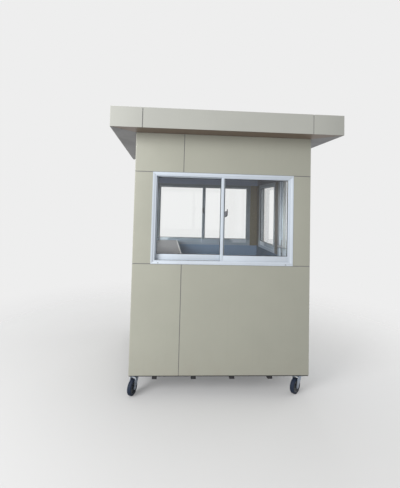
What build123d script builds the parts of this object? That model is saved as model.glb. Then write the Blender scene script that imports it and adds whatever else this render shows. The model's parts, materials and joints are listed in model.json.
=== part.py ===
from build123d import *
import os
from typing import NamedTuple

os.makedirs("parts", exist_ok=True)

# A one-person guard booth on four swivel casters, in millimetres.
# Origin: centre of the plan, on the ground. +Z is up, the service window faces -Y,
# and the door is in the +X side.

# Overall sizes of the body, outside its cladding
body_width = 1500.0
body_depth = 1500.0

# Roof box
overhang = 190.0
fascia_height = 160.0
fascia_return = 25.0
fascia_joint_inset = 63.5
roof_core_height = 124.0
deck_sheet = 3.0
deck_rise = 17.0
deck_flat = 600.0

# Sheets, joints and walls
sheet_thickness = 4.0
panel_joint = 6.0
mitre_joint = 1.5
seal_depth = 2.0
core_thickness = 54.0
front_joint_from_left = 407.0
wall_thickness = sheet_thickness + core_thickness

# Base frame, bearers and floor
frame_reveal = 8.0
rail_width = 60.0
rail_height = 50.0
rail_wall = 4.0
joist_width = 40.0
joist_offset = 250.0
corner_gusset = 150.0
bearer_width = 40.0
bearer_height = 22.0
bearer_first = 211.0
bearer_pitch = 320.0
bearer_count = 4
floor_thickness = 18.0

# Casters
caster_height = 157.0
caster_inset_left = 48.0
caster_inset_right = 74.0
caster_inset_end = 60.0
wheel_diameter = 125.0
tread_width = 34.0
rim_diameter = 94.0
axle_diameter = 10.0
axle_head = 18.0
axle_head_length = 5.0
hexagon = 6
caster_trail = 38.0
wheel_side_gap = 5.0
fork_thickness = 4.0
fork_boss_radius = 15.0
crown_length = 58.0
crown_top = 141.0
race_radius = 29.0
top_plate_length = 100.0
top_plate_width = 84.0
top_plate_thickness = 4.0
plate_corner = 10.0
kingpin_diameter = 14.0
kingpin_head = 26.0
kingpin_head_height = 4.0
running_gap = 0.05
face_gap = 0.3
swivel_turns = {
    "front_left": -113.0,
    "front_right": -140.0,
    "back_left": -113.0,
    "back_right": -140.0,
}

# Windows
sill_height = 903.0
window_height = 764.0
window_width = 1200.0
side_window_width = 600.0
window_margin = 150.0
frame_face = 32.0
frame_lip = 18.0
frame_proud = 3.0
track_fin = 4.0
track_width = 24.0
sash_thickness = 20.0
sash_stile = 26.0
sash_head_rail = 21.0
sash_foot_rail = 61.0
meeting_stile = 36.0
sash_gap = 2.0
bead_step = 4.0
pane_thickness = 5.0
pane_bite = 8.0
pane_gap = 0.2
latch_height = 70.0
latch_base = 20.0
latch_reach = 30.0
latch_above_middle = 50.0
latch_thickness = 5.0
latch_cam_radius = 21.0
latch_lever_width = 12.0
latch_bevel = 1.5

# Door
door_far_edge = 650.0
door_height = 1860.0
lintel_height = 90.0
door_frame_face = 36.0
threshold_height = 25.0
leaf_thickness = 40.0
leaf_gap = 5.0
latch_side_gap = 8.0
stop_lap = 10.0
leaf_stile = 46.0
leaf_head_rail = 60.0
leaf_foot_rail = 110.0
middle_rail = 80.0
door_glass_bottom = 985.0
door_panel_thickness = 8.0
hinge_length = 90.0
hinge_radius = 7.0
hinge_pin_radius = 3.0
hinge_leaf_width = 30.0
hinge_leaf_thickness = 2.5
hinge_leaf_setback = 1.0
hinge_end_distance = 200.0
knuckle_gap = 0.5
handle_height = 1000.0
handle_set_back = 30.5
handle_plate_width = 24.0
handle_plate_height = 190.0
handle_plate_thickness = 6.0
handle_plate_drop = 124.0
handle_plate_corner = 6.0
handle_neck = 34.0
handle_radius = 8.0
handle_length = 112.0
handle_grip = 12.0

# Counter along the left wall
counter_depth = 364.0
counter_level = 950.0
counter_thickness = 28.0
counter_edging = 2.0
bracket_thickness = 8.0
bracket_drop = 280.0
bracket_reach = 320.0
bracket_toe = 24.0
bracket_spacing = 500.0

# Levels above the ground
cladding_bottom = caster_height + frame_reveal
rail_top = caster_height + rail_height
door_top = rail_top + door_height
soffit_level = door_top + lintel_height
floor_level = rail_top + floor_thickness
window_bottom = cladding_bottom + sill_height
window_top = window_bottom + window_height
roof_core_bottom = soffit_level + sheet_thickness
deck_level = roof_core_bottom + roof_core_height
fascia_top = soffit_level + fascia_height
axle_level = wheel_diameter / 2
top_plate_bottom = caster_height - top_plate_thickness


class Side(NamedTuple):
    """One side of the body: its turn about Z, its length, and how far out its face is."""

    turn: float
    run: float
    reach: float


class Opening(NamedTuple):
    """A window in a side: its middle along the side, its width, and whether it slides."""

    side: Side
    middle: float
    width: float
    slides: bool


front = Side(0.0, body_width, body_depth / 2)
right = Side(90.0, body_depth, body_width / 2)
back = Side(180.0, body_width, body_depth / 2)
left = Side(270.0, body_depth, body_width / 2)


def block(x, y, z):
    """A block between three pairs of limits."""
    centre = ((x[0] + x[1]) / 2, (y[0] + y[1]) / 2, (z[0] + z[1]) / 2)
    return Pos(*centre) * Box(x[1] - x[0], y[1] - y[0], z[1] - z[0])


def side_block(side, along, depth, z):
    """A block seen from outside a side: along runs to the right, depth inward from the face."""
    return block(along, (depth[0] - side.reach, depth[1] - side.reach), z)


def placed(side, shape):
    """Turns a shape drawn for the front to its own side."""
    return Rot(0, 0, side.turn) * shape


def mitred_sheet(side, outer, inner, bottom, top):
    """A panel between two depths, with its ends cut at 45 degrees to meet the next side."""
    half = side.run / 2
    outline = Polyline(
        (outer - half, outer - side.reach),
        (half - outer, outer - side.reach),
        (half - inner, inner - side.reach),
        (inner - half, inner - side.reach),
        close=True,
    )
    return extrude(Pos(0, 0, bottom) * make_face(outline), amount=top - bottom)


def save(name, *shapes):
    """Writes one sub-part from its solids."""
    solids = [solid for shape in shapes for solid in shape.solids()]
    export_step(Compound(children=solids), f"parts/{name}.step")


# Base frame, bearers and floor


def base_frame():
    """A ring of channels open inward, with two joists and a gusset at each corner."""
    half_x = body_width / 2 - sheet_thickness
    half_y = body_depth / 2 - sheet_thickness
    inner_x = half_x - rail_width
    inner_y = half_y - rail_width
    rail = (caster_height, rail_top)
    between = (caster_height + rail_wall, rail_top - rail_wall)
    ring = block((-half_x, half_x), (-half_y, half_y), rail)
    ring -= block((-inner_x, inner_x), (-inner_y, inner_y), rail)
    web_x = half_x - rail_wall
    web_y = half_y - rail_wall
    ring -= block((-web_x, web_x), (-web_y, web_y), between)
    for y in (-joist_offset, joist_offset):
        width = (y - joist_width / 2, y + joist_width / 2)
        ring += block((-inner_x, inner_x), width, rail)
        ring += block((-web_x, web_x), width, between)
    for sx in (-1, 1):
        for sy in (-1, 1):
            x = sorted((sx * half_x, sx * (half_x - corner_gusset)))
            y = sorted((sy * half_y, sy * (half_y - corner_gusset)))
            ring += block(x, y, (caster_height, caster_height + rail_wall))
    return ring


def floor_bearers():
    """Flat bars under the base frame, from front to back."""
    half_y = body_depth / 2 - sheet_thickness
    bars = []
    for i in range(bearer_count):
        x = bearer_first + i * bearer_pitch - body_width / 2
        width = (x - bearer_width / 2, x + bearer_width / 2)
        bars.append(block(width, (-half_y, half_y), (caster_height - bearer_height, caster_height)))
    return bars


def floor_deck():
    """The floor sheet, between the walls."""
    half_x = body_width / 2 - wall_thickness
    half_y = body_depth / 2 - wall_thickness
    return block((-half_x, half_x), (-half_y, half_y), (rail_top, floor_level))


save("base_frame", base_frame())
save("floor_bearers", *floor_bearers())
save("floor_deck", floor_deck())


# Casters


def caster_place(corner):
    """Centre of a caster's swivel on the plan."""
    left_x = caster_inset_left - body_width / 2
    right_x = body_width / 2 - caster_inset_right
    end = body_depth / 2 - caster_inset_end
    x = left_x if corner.endswith("left") else right_x
    y = -end if corner.startswith("front") else end
    return x, y


def top_plate():
    """The fixed plate with the bearing race under it and the kingpin that the fork turns on."""
    plate = Pos(0, 0, caster_height - top_plate_thickness / 2) * Box(
        top_plate_width, top_plate_length, top_plate_thickness
    )
    plate = chamfer(plate.edges().filter_by(Axis.Z), plate_corner)
    race_bottom = crown_top + face_gap
    race = Pos(0, 0, race_bottom) * Circle(race_radius)
    pin_bottom = crown_top - fork_thickness - face_gap
    pin = Pos(0, 0, pin_bottom) * Circle(kingpin_diameter / 2)
    head = Pos(0, 0, pin_bottom - kingpin_head_height) * RegularPolygon(kingpin_head / 2, hexagon)
    plate += extrude(race, amount=top_plate_bottom - race_bottom)
    plate += extrude(pin, amount=top_plate_bottom - pin_bottom)
    return plate + extrude(head, amount=kingpin_head_height)


def fork():
    """A pressed fork: side plates tapering from the crown to the axle, bored for the kingpin."""
    inside = tread_width / 2 + wheel_side_gap
    outside = inside + fork_thickness
    crown = Pos(0, crown_top - fork_thickness) * Rectangle(crown_length, 2 * fork_thickness)
    boss = Pos(caster_trail, axle_level) * Circle(fork_boss_radius)
    profile = make_hull(crown.edges() + boss.edges())
    body = extrude(Plane.XZ * profile, amount=outside, both=True)
    hollow = fork_boss_radius + caster_trail + crown_length
    body -= block((-hollow, hollow), (-inside, inside), (0, crown_top - fork_thickness))
    rim = body.edges().filter_by(Axis.X).group_by(Axis.Z)[-1]
    body = chamfer(rim, fork_thickness / 2)
    body -= Pos(0, 0, crown_top) * Cylinder(kingpin_diameter / 2 + running_gap, 4 * fork_thickness)
    middle = Pos(caster_trail, 0, axle_level) * Rot(90, 0, 0)
    body += middle * Cylinder(axle_diameter / 2, 2 * outside)
    nut = RegularPolygon(axle_head / 2, hexagon)
    for way in (-1, 1):
        face = middle * Pos(0, 0, way * outside) * nut
        body += extrude(face, amount=axle_head_length, dir=(0, -way, 0))
    return body


def wheel():
    """The wheel centre, bored for the axle."""
    return turned(axle_diameter / 2 + running_gap, rim_diameter / 2)


def tyre():
    """The rubber tread round the wheel centre."""
    return turned(rim_diameter / 2 + running_gap, wheel_diameter / 2)


def turned(inner, outer):
    """A ring as wide as the tread, turned about the axle."""
    section = Pos((inner + outer) / 2, 0) * Rectangle(outer - inner, tread_width)
    return Pos(caster_trail, 0, axle_level) * revolve(section, axis=Axis.Y)


plates = []
for corner, turn in swivel_turns.items():
    x, y = caster_place(corner)
    plates.append(Pos(x, y, 0) * top_plate())
    place = Pos(x, y, 0) * Rot(0, 0, turn)
    save(f"caster_fork_{corner}", place * fork())
    save(f"caster_wheel_{corner}", place * wheel())
    save(f"caster_tyre_{corner}", place * tyre())
save("caster_plates", *plates)


# Walls


def window_hole(window):
    """The hole for a window, right through the wall."""
    along = (window.middle - window.width / 2, window.middle + window.width / 2)
    return side_block(window.side, along, (-1, wall_thickness + 1), (window_bottom, window_top))


door_along = (wall_thickness - right.run / 2, door_far_edge - right.run / 2)
door_hole = side_block(right, door_along, (-1, wall_thickness + 1), (rail_top, door_top))
side_window_middle = right.run / 2 - window_margin - side_window_width / 2
windows = {
    "front": Opening(front, 0.0, window_width, True),
    "back": Opening(back, 0.0, window_width, True),
    "left": Opening(left, 0.0, window_width, True),
    "right": Opening(right, side_window_middle, side_window_width, False),
}


def wall_core(side, along, bottom, hole):
    """The framed and lined wall behind the cladding, with its window hole."""
    core = side_block(side, along, (sheet_thickness, wall_thickness), (bottom, soffit_level))
    return placed(side, core - hole if hole else core)


long_wall = (sheet_thickness - front.run / 2, front.run / 2 - sheet_thickness)
short_wall = (wall_thickness - left.run / 2, left.run / 2 - wall_thickness)
save("front_wall", wall_core(front, long_wall, rail_top, window_hole(windows["front"])))
save("back_wall", wall_core(back, long_wall, rail_top, window_hole(windows["back"])))
save("left_wall", wall_core(left, short_wall, rail_top, window_hole(windows["left"])))
beside_door = (door_along[1], right.run / 2 - wall_thickness)
save("right_wall", wall_core(right, beside_door, rail_top, window_hole(windows["right"])))
save("right_wall_lintel", wall_core(right, door_along, door_top, None))


# Cladding panels and the seals in their joints


def strip(side, along, z):
    """A cut through the cladding sheet, in line with a joint."""
    return side_block(side, along, (-1, sheet_thickness + 1), z)


def joint_lines(side, upright):
    """Joints at window head and sill, and one upright joint above and below them."""
    half = panel_joint / 2
    width = (-side.run, side.run)
    lines = strip(side, width, (window_top - half, window_top + half))
    lines += strip(side, width, (window_bottom - half, window_bottom + half))
    lines += strip(side, (upright - half, upright + half), (cladding_bottom, window_bottom))
    lines += strip(side, (upright - half, upright + half), (window_top, soffit_level))
    return lines


def clad(side, upright, *holes):
    """One side's panels and seals."""
    lines = joint_lines(side, upright)
    panels = mitred_sheet(side, 0, sheet_thickness, cladding_bottom, soffit_level) - lines
    seals = mitred_sheet(side, seal_depth, sheet_thickness, cladding_bottom, soffit_level) & lines
    for hole in holes:
        panels -= hole
        seals -= hole
    return placed(side, panels), placed(side, seals)


side_window_near_edge = right.run - window_margin - side_window_width
post_joint = (door_far_edge + side_window_near_edge) / 2 - right.run / 2
uprights = {
    "front": front_joint_from_left - front.run / 2,
    "back": front_joint_from_left - back.run / 2,
    "left": front_joint_from_left - left.run / 2,
    "right": post_joint,
}
seals = []
for name, opening in windows.items():
    holes = [window_hole(opening)]
    if opening.side is right:
        holes.append(door_hole)
    panels, side_seals = clad(opening.side, uprights[name], *holes)
    save(f"{name}_cladding", panels)
    seals.append(side_seals)
save("joint_seals", *seals)


# Windows


def window(opening):
    """Frame with two tracks, its sashes, their panes and the latch, seen from outside."""
    side, middle, width, slides = opening
    edge = (middle - width / 2, middle + width / 2)
    outer_track = (track_fin - frame_proud, track_fin + track_width - frame_proud)
    total = wall_thickness + 2 * frame_proud
    inner_track = (total - track_fin - track_width - frame_proud, total - track_fin - frame_proud)
    through = (-frame_proud, wall_thickness + frame_proud)

    frame = side_block(side, edge, through, (window_bottom, window_top))
    clear = (edge[0] + frame_face, edge[1] - frame_face)
    frame -= side_block(side, clear, through, (window_bottom + frame_face, window_top - frame_face))
    channel = (edge[0] + frame_lip, edge[1] - frame_lip)
    for track in (outer_track, inner_track):
        frame -= side_block(side, channel, track, (window_bottom + frame_lip, window_top - frame_lip))

    foot = window_bottom + frame_lip + face_gap
    head = window_top - frame_lip - sash_gap
    lap = meeting_stile / 2
    sashes = []
    panes = []
    start = channel[0] + sash_gap
    end = channel[1] - sash_gap
    spans = [
        (inner_track, (start, middle + lap), (sash_stile, meeting_stile)),
        (outer_track, (middle - lap, end), (meeting_stile, sash_stile)),
    ]
    if not slides:
        spans = [(inner_track, (start, end), (sash_stile, sash_stile))]
    for track, along, stiles in spans:
        centre = (track[0] + track[1]) / 2
        depth = (centre - sash_thickness / 2, centre + sash_thickness / 2)
        light = (along[0] + stiles[0], along[1] - stiles[1])
        light_z = (foot + sash_foot_rail, head - sash_head_rail)
        sash = side_block(side, along, depth, (foot, head)) - side_block(side, light, depth, light_z)
        step = grown(light, bead_step)
        step_z = grown(light_z, bead_step)
        sash -= side_block(side, step, (depth[0], depth[0] + bead_step), step_z)
        glass = (centre - pane_thickness / 2, centre + pane_thickness / 2)
        pocket = side_block(side, grown(light, pane_bite), grown(glass, pane_gap), grown(light_z, pane_bite))
        sashes.append(sash - pocket)
        pane_size = grown(light, pane_bite - pane_gap)
        panes.append(side_block(side, pane_size, glass, grown(light_z, pane_bite - pane_gap)))
    room_face = (inner_track[0] + inner_track[1] + sash_thickness) / 2
    catches = [latch(side, middle + lap, room_face)] if slides else []
    groups = ([frame], sashes, panes, catches)
    return [[placed(side, piece) for piece in group] for group in groups]


def grown(limits, by):
    """A pair of limits moved apart by the same amount at both ends."""
    return limits[0] - by, limits[1] + by


def latch(side, edge, face):
    """A crescent latch on the room side of the meeting stile: base, half-moon cam and thumb lever."""
    middle = (window_bottom + window_top) / 2 + latch_above_middle
    pivot = edge - latch_base / 2
    foot = middle - latch_height / 2
    base = side_block(
        side,
        (edge - latch_base, edge),
        (face, face + latch_thickness),
        (foot, foot + latch_height),
    )
    base = chamfer(base.edges().filter_by(Axis.Z).group_by(Axis.Y)[-1], latch_bevel)
    cam = Circle(latch_cam_radius) - Pos(-latch_cam_radius, 0) * Rectangle(2 * latch_cam_radius, latch_height)
    stem = Rectangle(latch_lever_width, latch_height / 2, align=(Align.CENTER, Align.MAX))
    lever_length = latch_base / 2 + latch_reach
    lever = Rectangle(lever_length, latch_lever_width, align=(Align.MIN, Align.MIN))
    outline = cam + stem + Pos(0, -latch_height / 2) * lever
    far = face + 2 * latch_thickness - side.reach
    return base + extrude(Pos(pivot, far, middle) * (Plane.XZ * outline), amount=latch_thickness)


latches = []
for name, opening in windows.items():
    frame, sashes, panes, catches = window(opening)
    save(f"{name}_window_frame", *frame)
    save(f"{name}_window_sashes", *sashes)
    save(f"{name}_window_glass", *panes)
    latches += catches
save("sash_latches", *latches)


# Door


door_depth = (-frame_proud, wall_thickness)
leaf_depth = (-frame_proud, leaf_thickness - frame_proud)
stop_depth = leaf_depth[1] + leaf_gap
leaf_along = (door_along[0] + door_frame_face + leaf_gap, door_along[1] - door_frame_face - latch_side_gap)
leaf_z = (rail_top + threshold_height + leaf_gap, door_top - door_frame_face - leaf_gap)
glass_z = (cladding_bottom + door_glass_bottom, leaf_z[1] - leaf_head_rail)
panel_z = (leaf_z[0] + leaf_foot_rail, glass_z[0] - middle_rail)
light_along = (leaf_along[0] + leaf_stile, leaf_along[1] - leaf_stile)
hinge_along = leaf_along[0] - leaf_gap / 2
hinge_depth = -frame_proud - hinge_radius


def door_frame():
    """Jambs, head and threshold, with a stop behind the leaf."""
    frame = side_block(right, door_along, door_depth, (rail_top, door_top))
    clear = (door_along[0] + door_frame_face, door_along[1] - door_frame_face)
    above = rail_top + threshold_height
    frame -= side_block(right, clear, (door_depth[0], stop_depth), (above, door_top - door_frame_face))
    past = (leaf_along[0] + stop_lap, leaf_along[1] - stop_lap)
    frame -= side_block(right, past, (stop_depth, door_depth[1]), (above, leaf_z[1] - stop_lap))
    return placed(right, frame)


def door_leaf():
    """Stiles and rails, grooved for the glass above and the panel below."""
    leaf = side_block(right, leaf_along, leaf_depth, leaf_z)
    centre = (leaf_depth[0] + leaf_depth[1]) / 2
    for z, thickness in ((glass_z, pane_thickness), (panel_z, door_panel_thickness)):
        leaf -= side_block(right, light_along, leaf_depth, z)
        step = (leaf_depth[0], leaf_depth[0] + 2 * bead_step)
        leaf -= side_block(right, grown(light_along, bead_step), step, grown(z, bead_step))
        sheet = (centre - thickness / 2, centre + thickness / 2)
        leaf -= side_block(right, grown(light_along, pane_bite), grown(sheet, pane_gap), grown(z, pane_bite))
    return placed(right, leaf)


def door_sheet(z, thickness):
    """A pane or panel held in the leaf's grooves."""
    centre = (leaf_depth[0] + leaf_depth[1]) / 2
    sheet = (centre - thickness / 2, centre + thickness / 2)
    bite = pane_bite - pane_gap
    return placed(right, side_block(right, grown(light_along, bite), sheet, grown(z, bite)))


def hinge_levels():
    """Middles of the three hinges."""
    low = leaf_z[0] + hinge_end_distance
    high = leaf_z[1] - hinge_end_distance
    return low, (low + high) / 2, high


def knuckle(bottom, top, radius):
    """A round length on the hinge axis."""
    body = Cylinder(radius, top - bottom, align=(Align.CENTER, Align.CENTER, Align.MIN))
    return Pos(hinge_along, hinge_depth - right.reach, bottom) * body


def hinge_half(level, own, way):
    """A plate on one side of the axis, with its own knuckles rolled from its edge."""
    face = (-frame_proud - hinge_leaf_thickness, -frame_proud)
    near = hinge_along + way * (hinge_radius + hinge_leaf_setback)
    far = hinge_along + way * hinge_leaf_width
    plate_z = (level - hinge_length / 2, level + hinge_length / 2)
    half = side_block(right, sorted((near, far)), face, plate_z)
    section = Pos(hinge_along, hinge_depth - right.reach) * Circle(hinge_radius)
    tab = Rectangle(abs(near - hinge_along), hinge_leaf_thickness)
    section += Pos((hinge_along + near) / 2, sum(face) / 2 - right.reach) * tab
    for bottom, top in own:
        half += extrude(Pos(0, 0, bottom) * section, amount=top - bottom)
    return half


def hinges():
    """The halves on the frame, with their pins, and the halves on the door."""
    fixed = []
    moving = []
    third = hinge_length / 3
    for level in hinge_levels():
        bottom = level - hinge_length / 2
        top = level + hinge_length / 2
        outer = ((bottom, bottom + third), (top - third, top))
        inner = ((bottom + third + knuckle_gap, top - third - knuckle_gap),)
        fixed.append(placed(right, hinge_half(level, outer, -1) + knuckle(bottom, top, hinge_pin_radius)))
        bored = hinge_half(level, inner, 1) - knuckle(bottom, top, hinge_pin_radius + running_gap)
        moving.append(placed(right, bored))
    return fixed, moving


def lever_handle(face, way):
    """A long plate with a round neck and a flat lever that turns back along the door."""
    level = cladding_bottom + handle_height
    along = leaf_along[1] - handle_set_back
    far = face + way * handle_plate_thickness
    foot = level - handle_plate_drop
    plate = side_block(
        right,
        (along - handle_plate_width / 2, along + handle_plate_width / 2),
        sorted((face, far)),
        (foot, foot + handle_plate_height),
    )
    plate = chamfer(plate.edges().filter_by(Axis.Y), handle_plate_corner)
    neck_face = Plane(origin=(along, far - right.reach, level), x_dir=(1, 0, 0), z_dir=(0, way, 0))
    neck = extrude(neck_face * Circle(handle_radius), amount=handle_neck)
    bar = SlotOverall(handle_length + handle_radius, 2 * handle_radius)
    lever_face = neck_face.offset(handle_neck) * Pos((handle_radius - handle_length) / 2, 0)
    return plate + neck + extrude(lever_face * bar, amount=handle_grip / 2, both=True)


fixed_hinges, door_hinges = hinges()
save("door_frame", door_frame())
save("door_leaf", door_leaf())
save("door_panel", door_sheet(panel_z, door_panel_thickness))
save("door_glass", door_sheet(glass_z, pane_thickness))
handles = [placed(right, lever_handle(leaf_depth[i], way)) for i, way in enumerate((-1, 1))]
save("door_handles", *handles)
save("door_hinge_frame_leaves", *fixed_hinges)
save("door_hinge_door_leaves", *door_hinges)


# Roof box


def soffit():
    """Four panels under the eaves, mitred at the corners."""
    return [mitre_cut(side, soffit_sheet(side)) for side in (front, right, back, left)]


def soffit_sheet(side):
    """One side's panel, from the cladding out to the fascia."""
    return mitred_sheet(side, sheet_thickness - overhang, 0, soffit_level, soffit_level + sheet_thickness)


def mitre_cut(side, sheet):
    """Opens a hairline along both mitres of a panel."""
    corner = Pos(side.run / 2, -side.reach, soffit_level) * Rot(0, 0, -45)
    line = corner * Box(4 * overhang, mitre_joint, 4 * sheet_thickness)
    return placed(side, sheet - line - mirror(line, Plane.YZ))


def fascia():
    """Three folded panels on each side: an upright face with a flange turned in at the top."""
    panels = []
    outer = -overhang
    half = panel_joint / 2
    for side in (front, right, back, left):
        face = mitred_sheet(side, outer, outer + sheet_thickness, soffit_level, fascia_top)
        flange_bottom = fascia_top - sheet_thickness
        face += mitred_sheet(side, outer, outer + sheet_thickness + fascia_return, flange_bottom, fascia_top)
        for way in (-1, 1):
            at = way * (side.run / 2 - fascia_joint_inset)
            depth = (outer - 1, outer + sheet_thickness + fascia_return + 1)
            face -= side_block(side, (at - half, at + half), depth, (soffit_level, fascia_top))
        panels.append(placed(side, face))
    return panels


def roof_core():
    """The framed box inside the fascia."""
    half_x = body_width / 2 + overhang - sheet_thickness
    half_y = body_depth / 2 + overhang - sheet_thickness
    return block((-half_x, half_x), (-half_y, half_y), (roof_core_bottom, deck_level))


def roof_deck():
    """The top sheet: a low hip that sheds water to the edges, with a flat middle."""
    width = body_width + 2 * (overhang - sheet_thickness)
    depth = body_depth + 2 * (overhang - sheet_thickness)
    slab = block((-width / 2, width / 2), (-depth / 2, depth / 2), (deck_level, deck_level + deck_sheet))
    return (slab + hip(Plane.XZ, width, depth)) & (slab + hip(Plane.YZ, depth, width))


def hip(plane, span, length):
    """A long prism with two slopes and a flat ridge; two of them crossed leave the hipped form."""
    foot = deck_level + deck_sheet
    profile = Polyline(
        (-span / 2, foot),
        (span / 2, foot),
        (deck_flat / 2, foot + deck_rise),
        (-deck_flat / 2, foot + deck_rise),
        close=True,
    )
    return extrude(plane * make_face(profile), amount=length / 2, both=True)


def ceiling():
    """The lining over the room, on top of the walls."""
    half_x = body_width / 2
    half_y = body_depth / 2
    return block((-half_x, half_x), (-half_y, half_y), (soffit_level, roof_core_bottom))


save("soffit", *soffit())
save("fascia", *fascia())
save("roof_core", roof_core())
save("roof_deck", roof_deck())
save("ceiling", ceiling())


# Counter


counter_back = wall_thickness + frame_proud + face_gap
counter_half = left.run / 2 - counter_back
counter_top_level = cladding_bottom + counter_level
counter_bottom = counter_top_level - counter_thickness


def counter_top():
    """The worktop, clear of the window frames at its back and ends."""
    depth = (counter_back, wall_thickness + counter_depth - counter_edging)
    top = side_block(left, (-counter_half, counter_half), depth, (counter_bottom, counter_top_level))
    return placed(left, top)


def counter_edge():
    """The edging strip along the worktop's front."""
    front_face = wall_thickness + counter_depth
    depth = (front_face - counter_edging, front_face)
    strip_z = (counter_bottom, counter_top_level)
    return placed(left, side_block(left, (-counter_half, counter_half), depth, strip_z))


def counter_brackets():
    """Three plate gussets on the left wall, stepped round the window frame."""
    wall = wall_thickness - left.reach
    shoulder = window_bottom - face_gap
    foot = counter_bottom - bracket_drop
    brackets = []
    for at in (-bracket_spacing, 0.0, bracket_spacing):
        outline = Polyline(
            (wall, foot),
            (wall, shoulder),
            (wall + frame_proud + face_gap, shoulder),
            (wall + frame_proud + face_gap, counter_bottom),
            (wall + bracket_reach, counter_bottom),
            (wall + bracket_reach, counter_bottom - bracket_toe),
            (wall + bracket_toe, foot),
            close=True,
        )
        plate = extrude(Plane.YZ * make_face(outline), amount=bracket_thickness / 2, both=True)
        brackets.append(placed(left, Pos(at, 0, 0) * plate))
    return brackets


save("counter_top", counter_top())
save("counter_edge", counter_edge())
save("counter_brackets", *counter_brackets())
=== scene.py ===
"""Finishes and fine pieces of a small guard booth on casters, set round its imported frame.

Lengths are metres. +Z is up, the service window faces -Y and the door is in the +X side.
"""

import functools
import json
import logging
import math
from dataclasses import dataclass, replace
from enum import Enum
from typing import Any, Callable, Iterable, Sequence

import bmesh
import bpy
from mathutils import Matrix, Vector


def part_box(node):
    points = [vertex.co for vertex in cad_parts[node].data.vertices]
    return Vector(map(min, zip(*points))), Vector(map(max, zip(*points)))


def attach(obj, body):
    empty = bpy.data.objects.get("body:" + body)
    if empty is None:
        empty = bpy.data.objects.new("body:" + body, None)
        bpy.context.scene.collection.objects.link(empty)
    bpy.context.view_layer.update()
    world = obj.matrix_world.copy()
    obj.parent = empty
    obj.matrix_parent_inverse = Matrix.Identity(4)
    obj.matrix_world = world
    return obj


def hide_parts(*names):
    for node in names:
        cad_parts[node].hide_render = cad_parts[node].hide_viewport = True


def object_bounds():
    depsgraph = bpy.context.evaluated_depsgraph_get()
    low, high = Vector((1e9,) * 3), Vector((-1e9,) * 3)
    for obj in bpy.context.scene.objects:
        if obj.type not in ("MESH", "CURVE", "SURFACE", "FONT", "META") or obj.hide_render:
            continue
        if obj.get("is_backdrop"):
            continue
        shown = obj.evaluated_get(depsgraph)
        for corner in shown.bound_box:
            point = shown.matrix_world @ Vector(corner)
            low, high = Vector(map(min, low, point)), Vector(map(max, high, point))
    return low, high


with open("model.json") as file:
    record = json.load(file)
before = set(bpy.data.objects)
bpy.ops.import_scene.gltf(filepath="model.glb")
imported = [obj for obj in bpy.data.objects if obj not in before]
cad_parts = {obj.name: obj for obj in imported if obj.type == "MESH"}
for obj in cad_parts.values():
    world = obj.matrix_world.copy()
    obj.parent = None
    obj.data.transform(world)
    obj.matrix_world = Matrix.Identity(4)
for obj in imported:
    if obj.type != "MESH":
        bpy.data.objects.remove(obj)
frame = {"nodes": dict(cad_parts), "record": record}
cad_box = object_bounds()

MM = 0.001
FULL_TURN = 2 * math.pi
SHARP_ANGLE = math.radians(28)
WELD = 1e-6
ALONG, INWARD, UP = (Vector(axis) for axis in ((1, 0, 0), (0, 1, 0), (0, 0, 1)))
log = logging.getLogger("booth")

Solid = bmesh.types.BMesh
Socket = bpy.types.NodeSocket
Pair = tuple[float, float]
Rgb = tuple[float, float, float]


def turned_about(axis: str, degrees: float) -> Matrix:
    """A turn about an axis through zero."""
    return Matrix.Rotation(math.radians(degrees), 4, axis)


class Side(Enum):
    """The four sides of the body, each by its turn about Z from the front, in degrees."""

    FRONT = 0
    RIGHT = 90
    BACK = 180
    LEFT = 270

    @property
    def node_prefix(self) -> str:
        """The word that starts the names of this side's nodes."""
        return self.name.lower()

    def place(self) -> Matrix:
        """Turns a shape drawn along +X, inward +Y from the wall's face, to its own side."""
        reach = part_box("ceiling")[1].y
        return turned_about("Z", self.value) @ Matrix.Translation((0, -reach, 0))

    def box(self, node: str) -> tuple[Vector, Vector]:
        """Gives a node's box in this side's own axes.

        Args:
            node: Name of the frame's node.

        Returns:
            The lowest and highest corners: along the wall, inward from its face, and up.
        """
        back = self.place().inverted()
        corners = [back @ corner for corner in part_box(node)]
        low = Vector([min(pair) for pair in zip(*corners)])
        high = Vector([max(pair) for pair in zip(*corners)])
        return low, high


# Mesh helpers


def block(low: Sequence[float], high: Sequence[float]) -> Solid:
    """Makes a cuboid between two corners.

    Args:
        low: Lowest corner.
        high: Highest corner.

    Returns:
        A new bmesh with the cuboid.
    """
    solid = bmesh.new()
    bmesh.ops.create_cube(solid, size=1.0)
    size = [b - a for a, b in zip(low, high)]
    middle = [(a + b) / 2 for a, b in zip(low, high)]
    bmesh.ops.scale(solid, vec=size, verts=solid.verts)
    bmesh.ops.translate(solid, vec=middle, verts=solid.verts)
    return solid


def prism(
    outline: Iterable[Sequence[float]], origin: Vector, across: Vector, up: Vector, along: Vector,
) -> Solid:
    """Extrudes a flat outline into a closed bar.

    Args:
        outline: Pairs of distances along across and up.
        origin: Where the outline's zero lies.
        across: Direction of the first distance.
        up: Direction of the second distance.
        along: Direction and length of the extrusion.

    Returns:
        A new bmesh with the bar, its faces outward.
    """
    solid = bmesh.new()
    ring = [solid.verts.new(origin + across * a + up * b) for a, b in outline]
    face = solid.faces.new(ring)
    grown = bmesh.ops.extrude_face_region(solid, geom=[face])["geom"]
    moved = [item for item in grown if isinstance(item, bmesh.types.BMVert)]
    bmesh.ops.translate(solid, vec=along, verts=moved)
    bmesh.ops.recalc_face_normals(solid, faces=solid.faces)
    return solid


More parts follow.
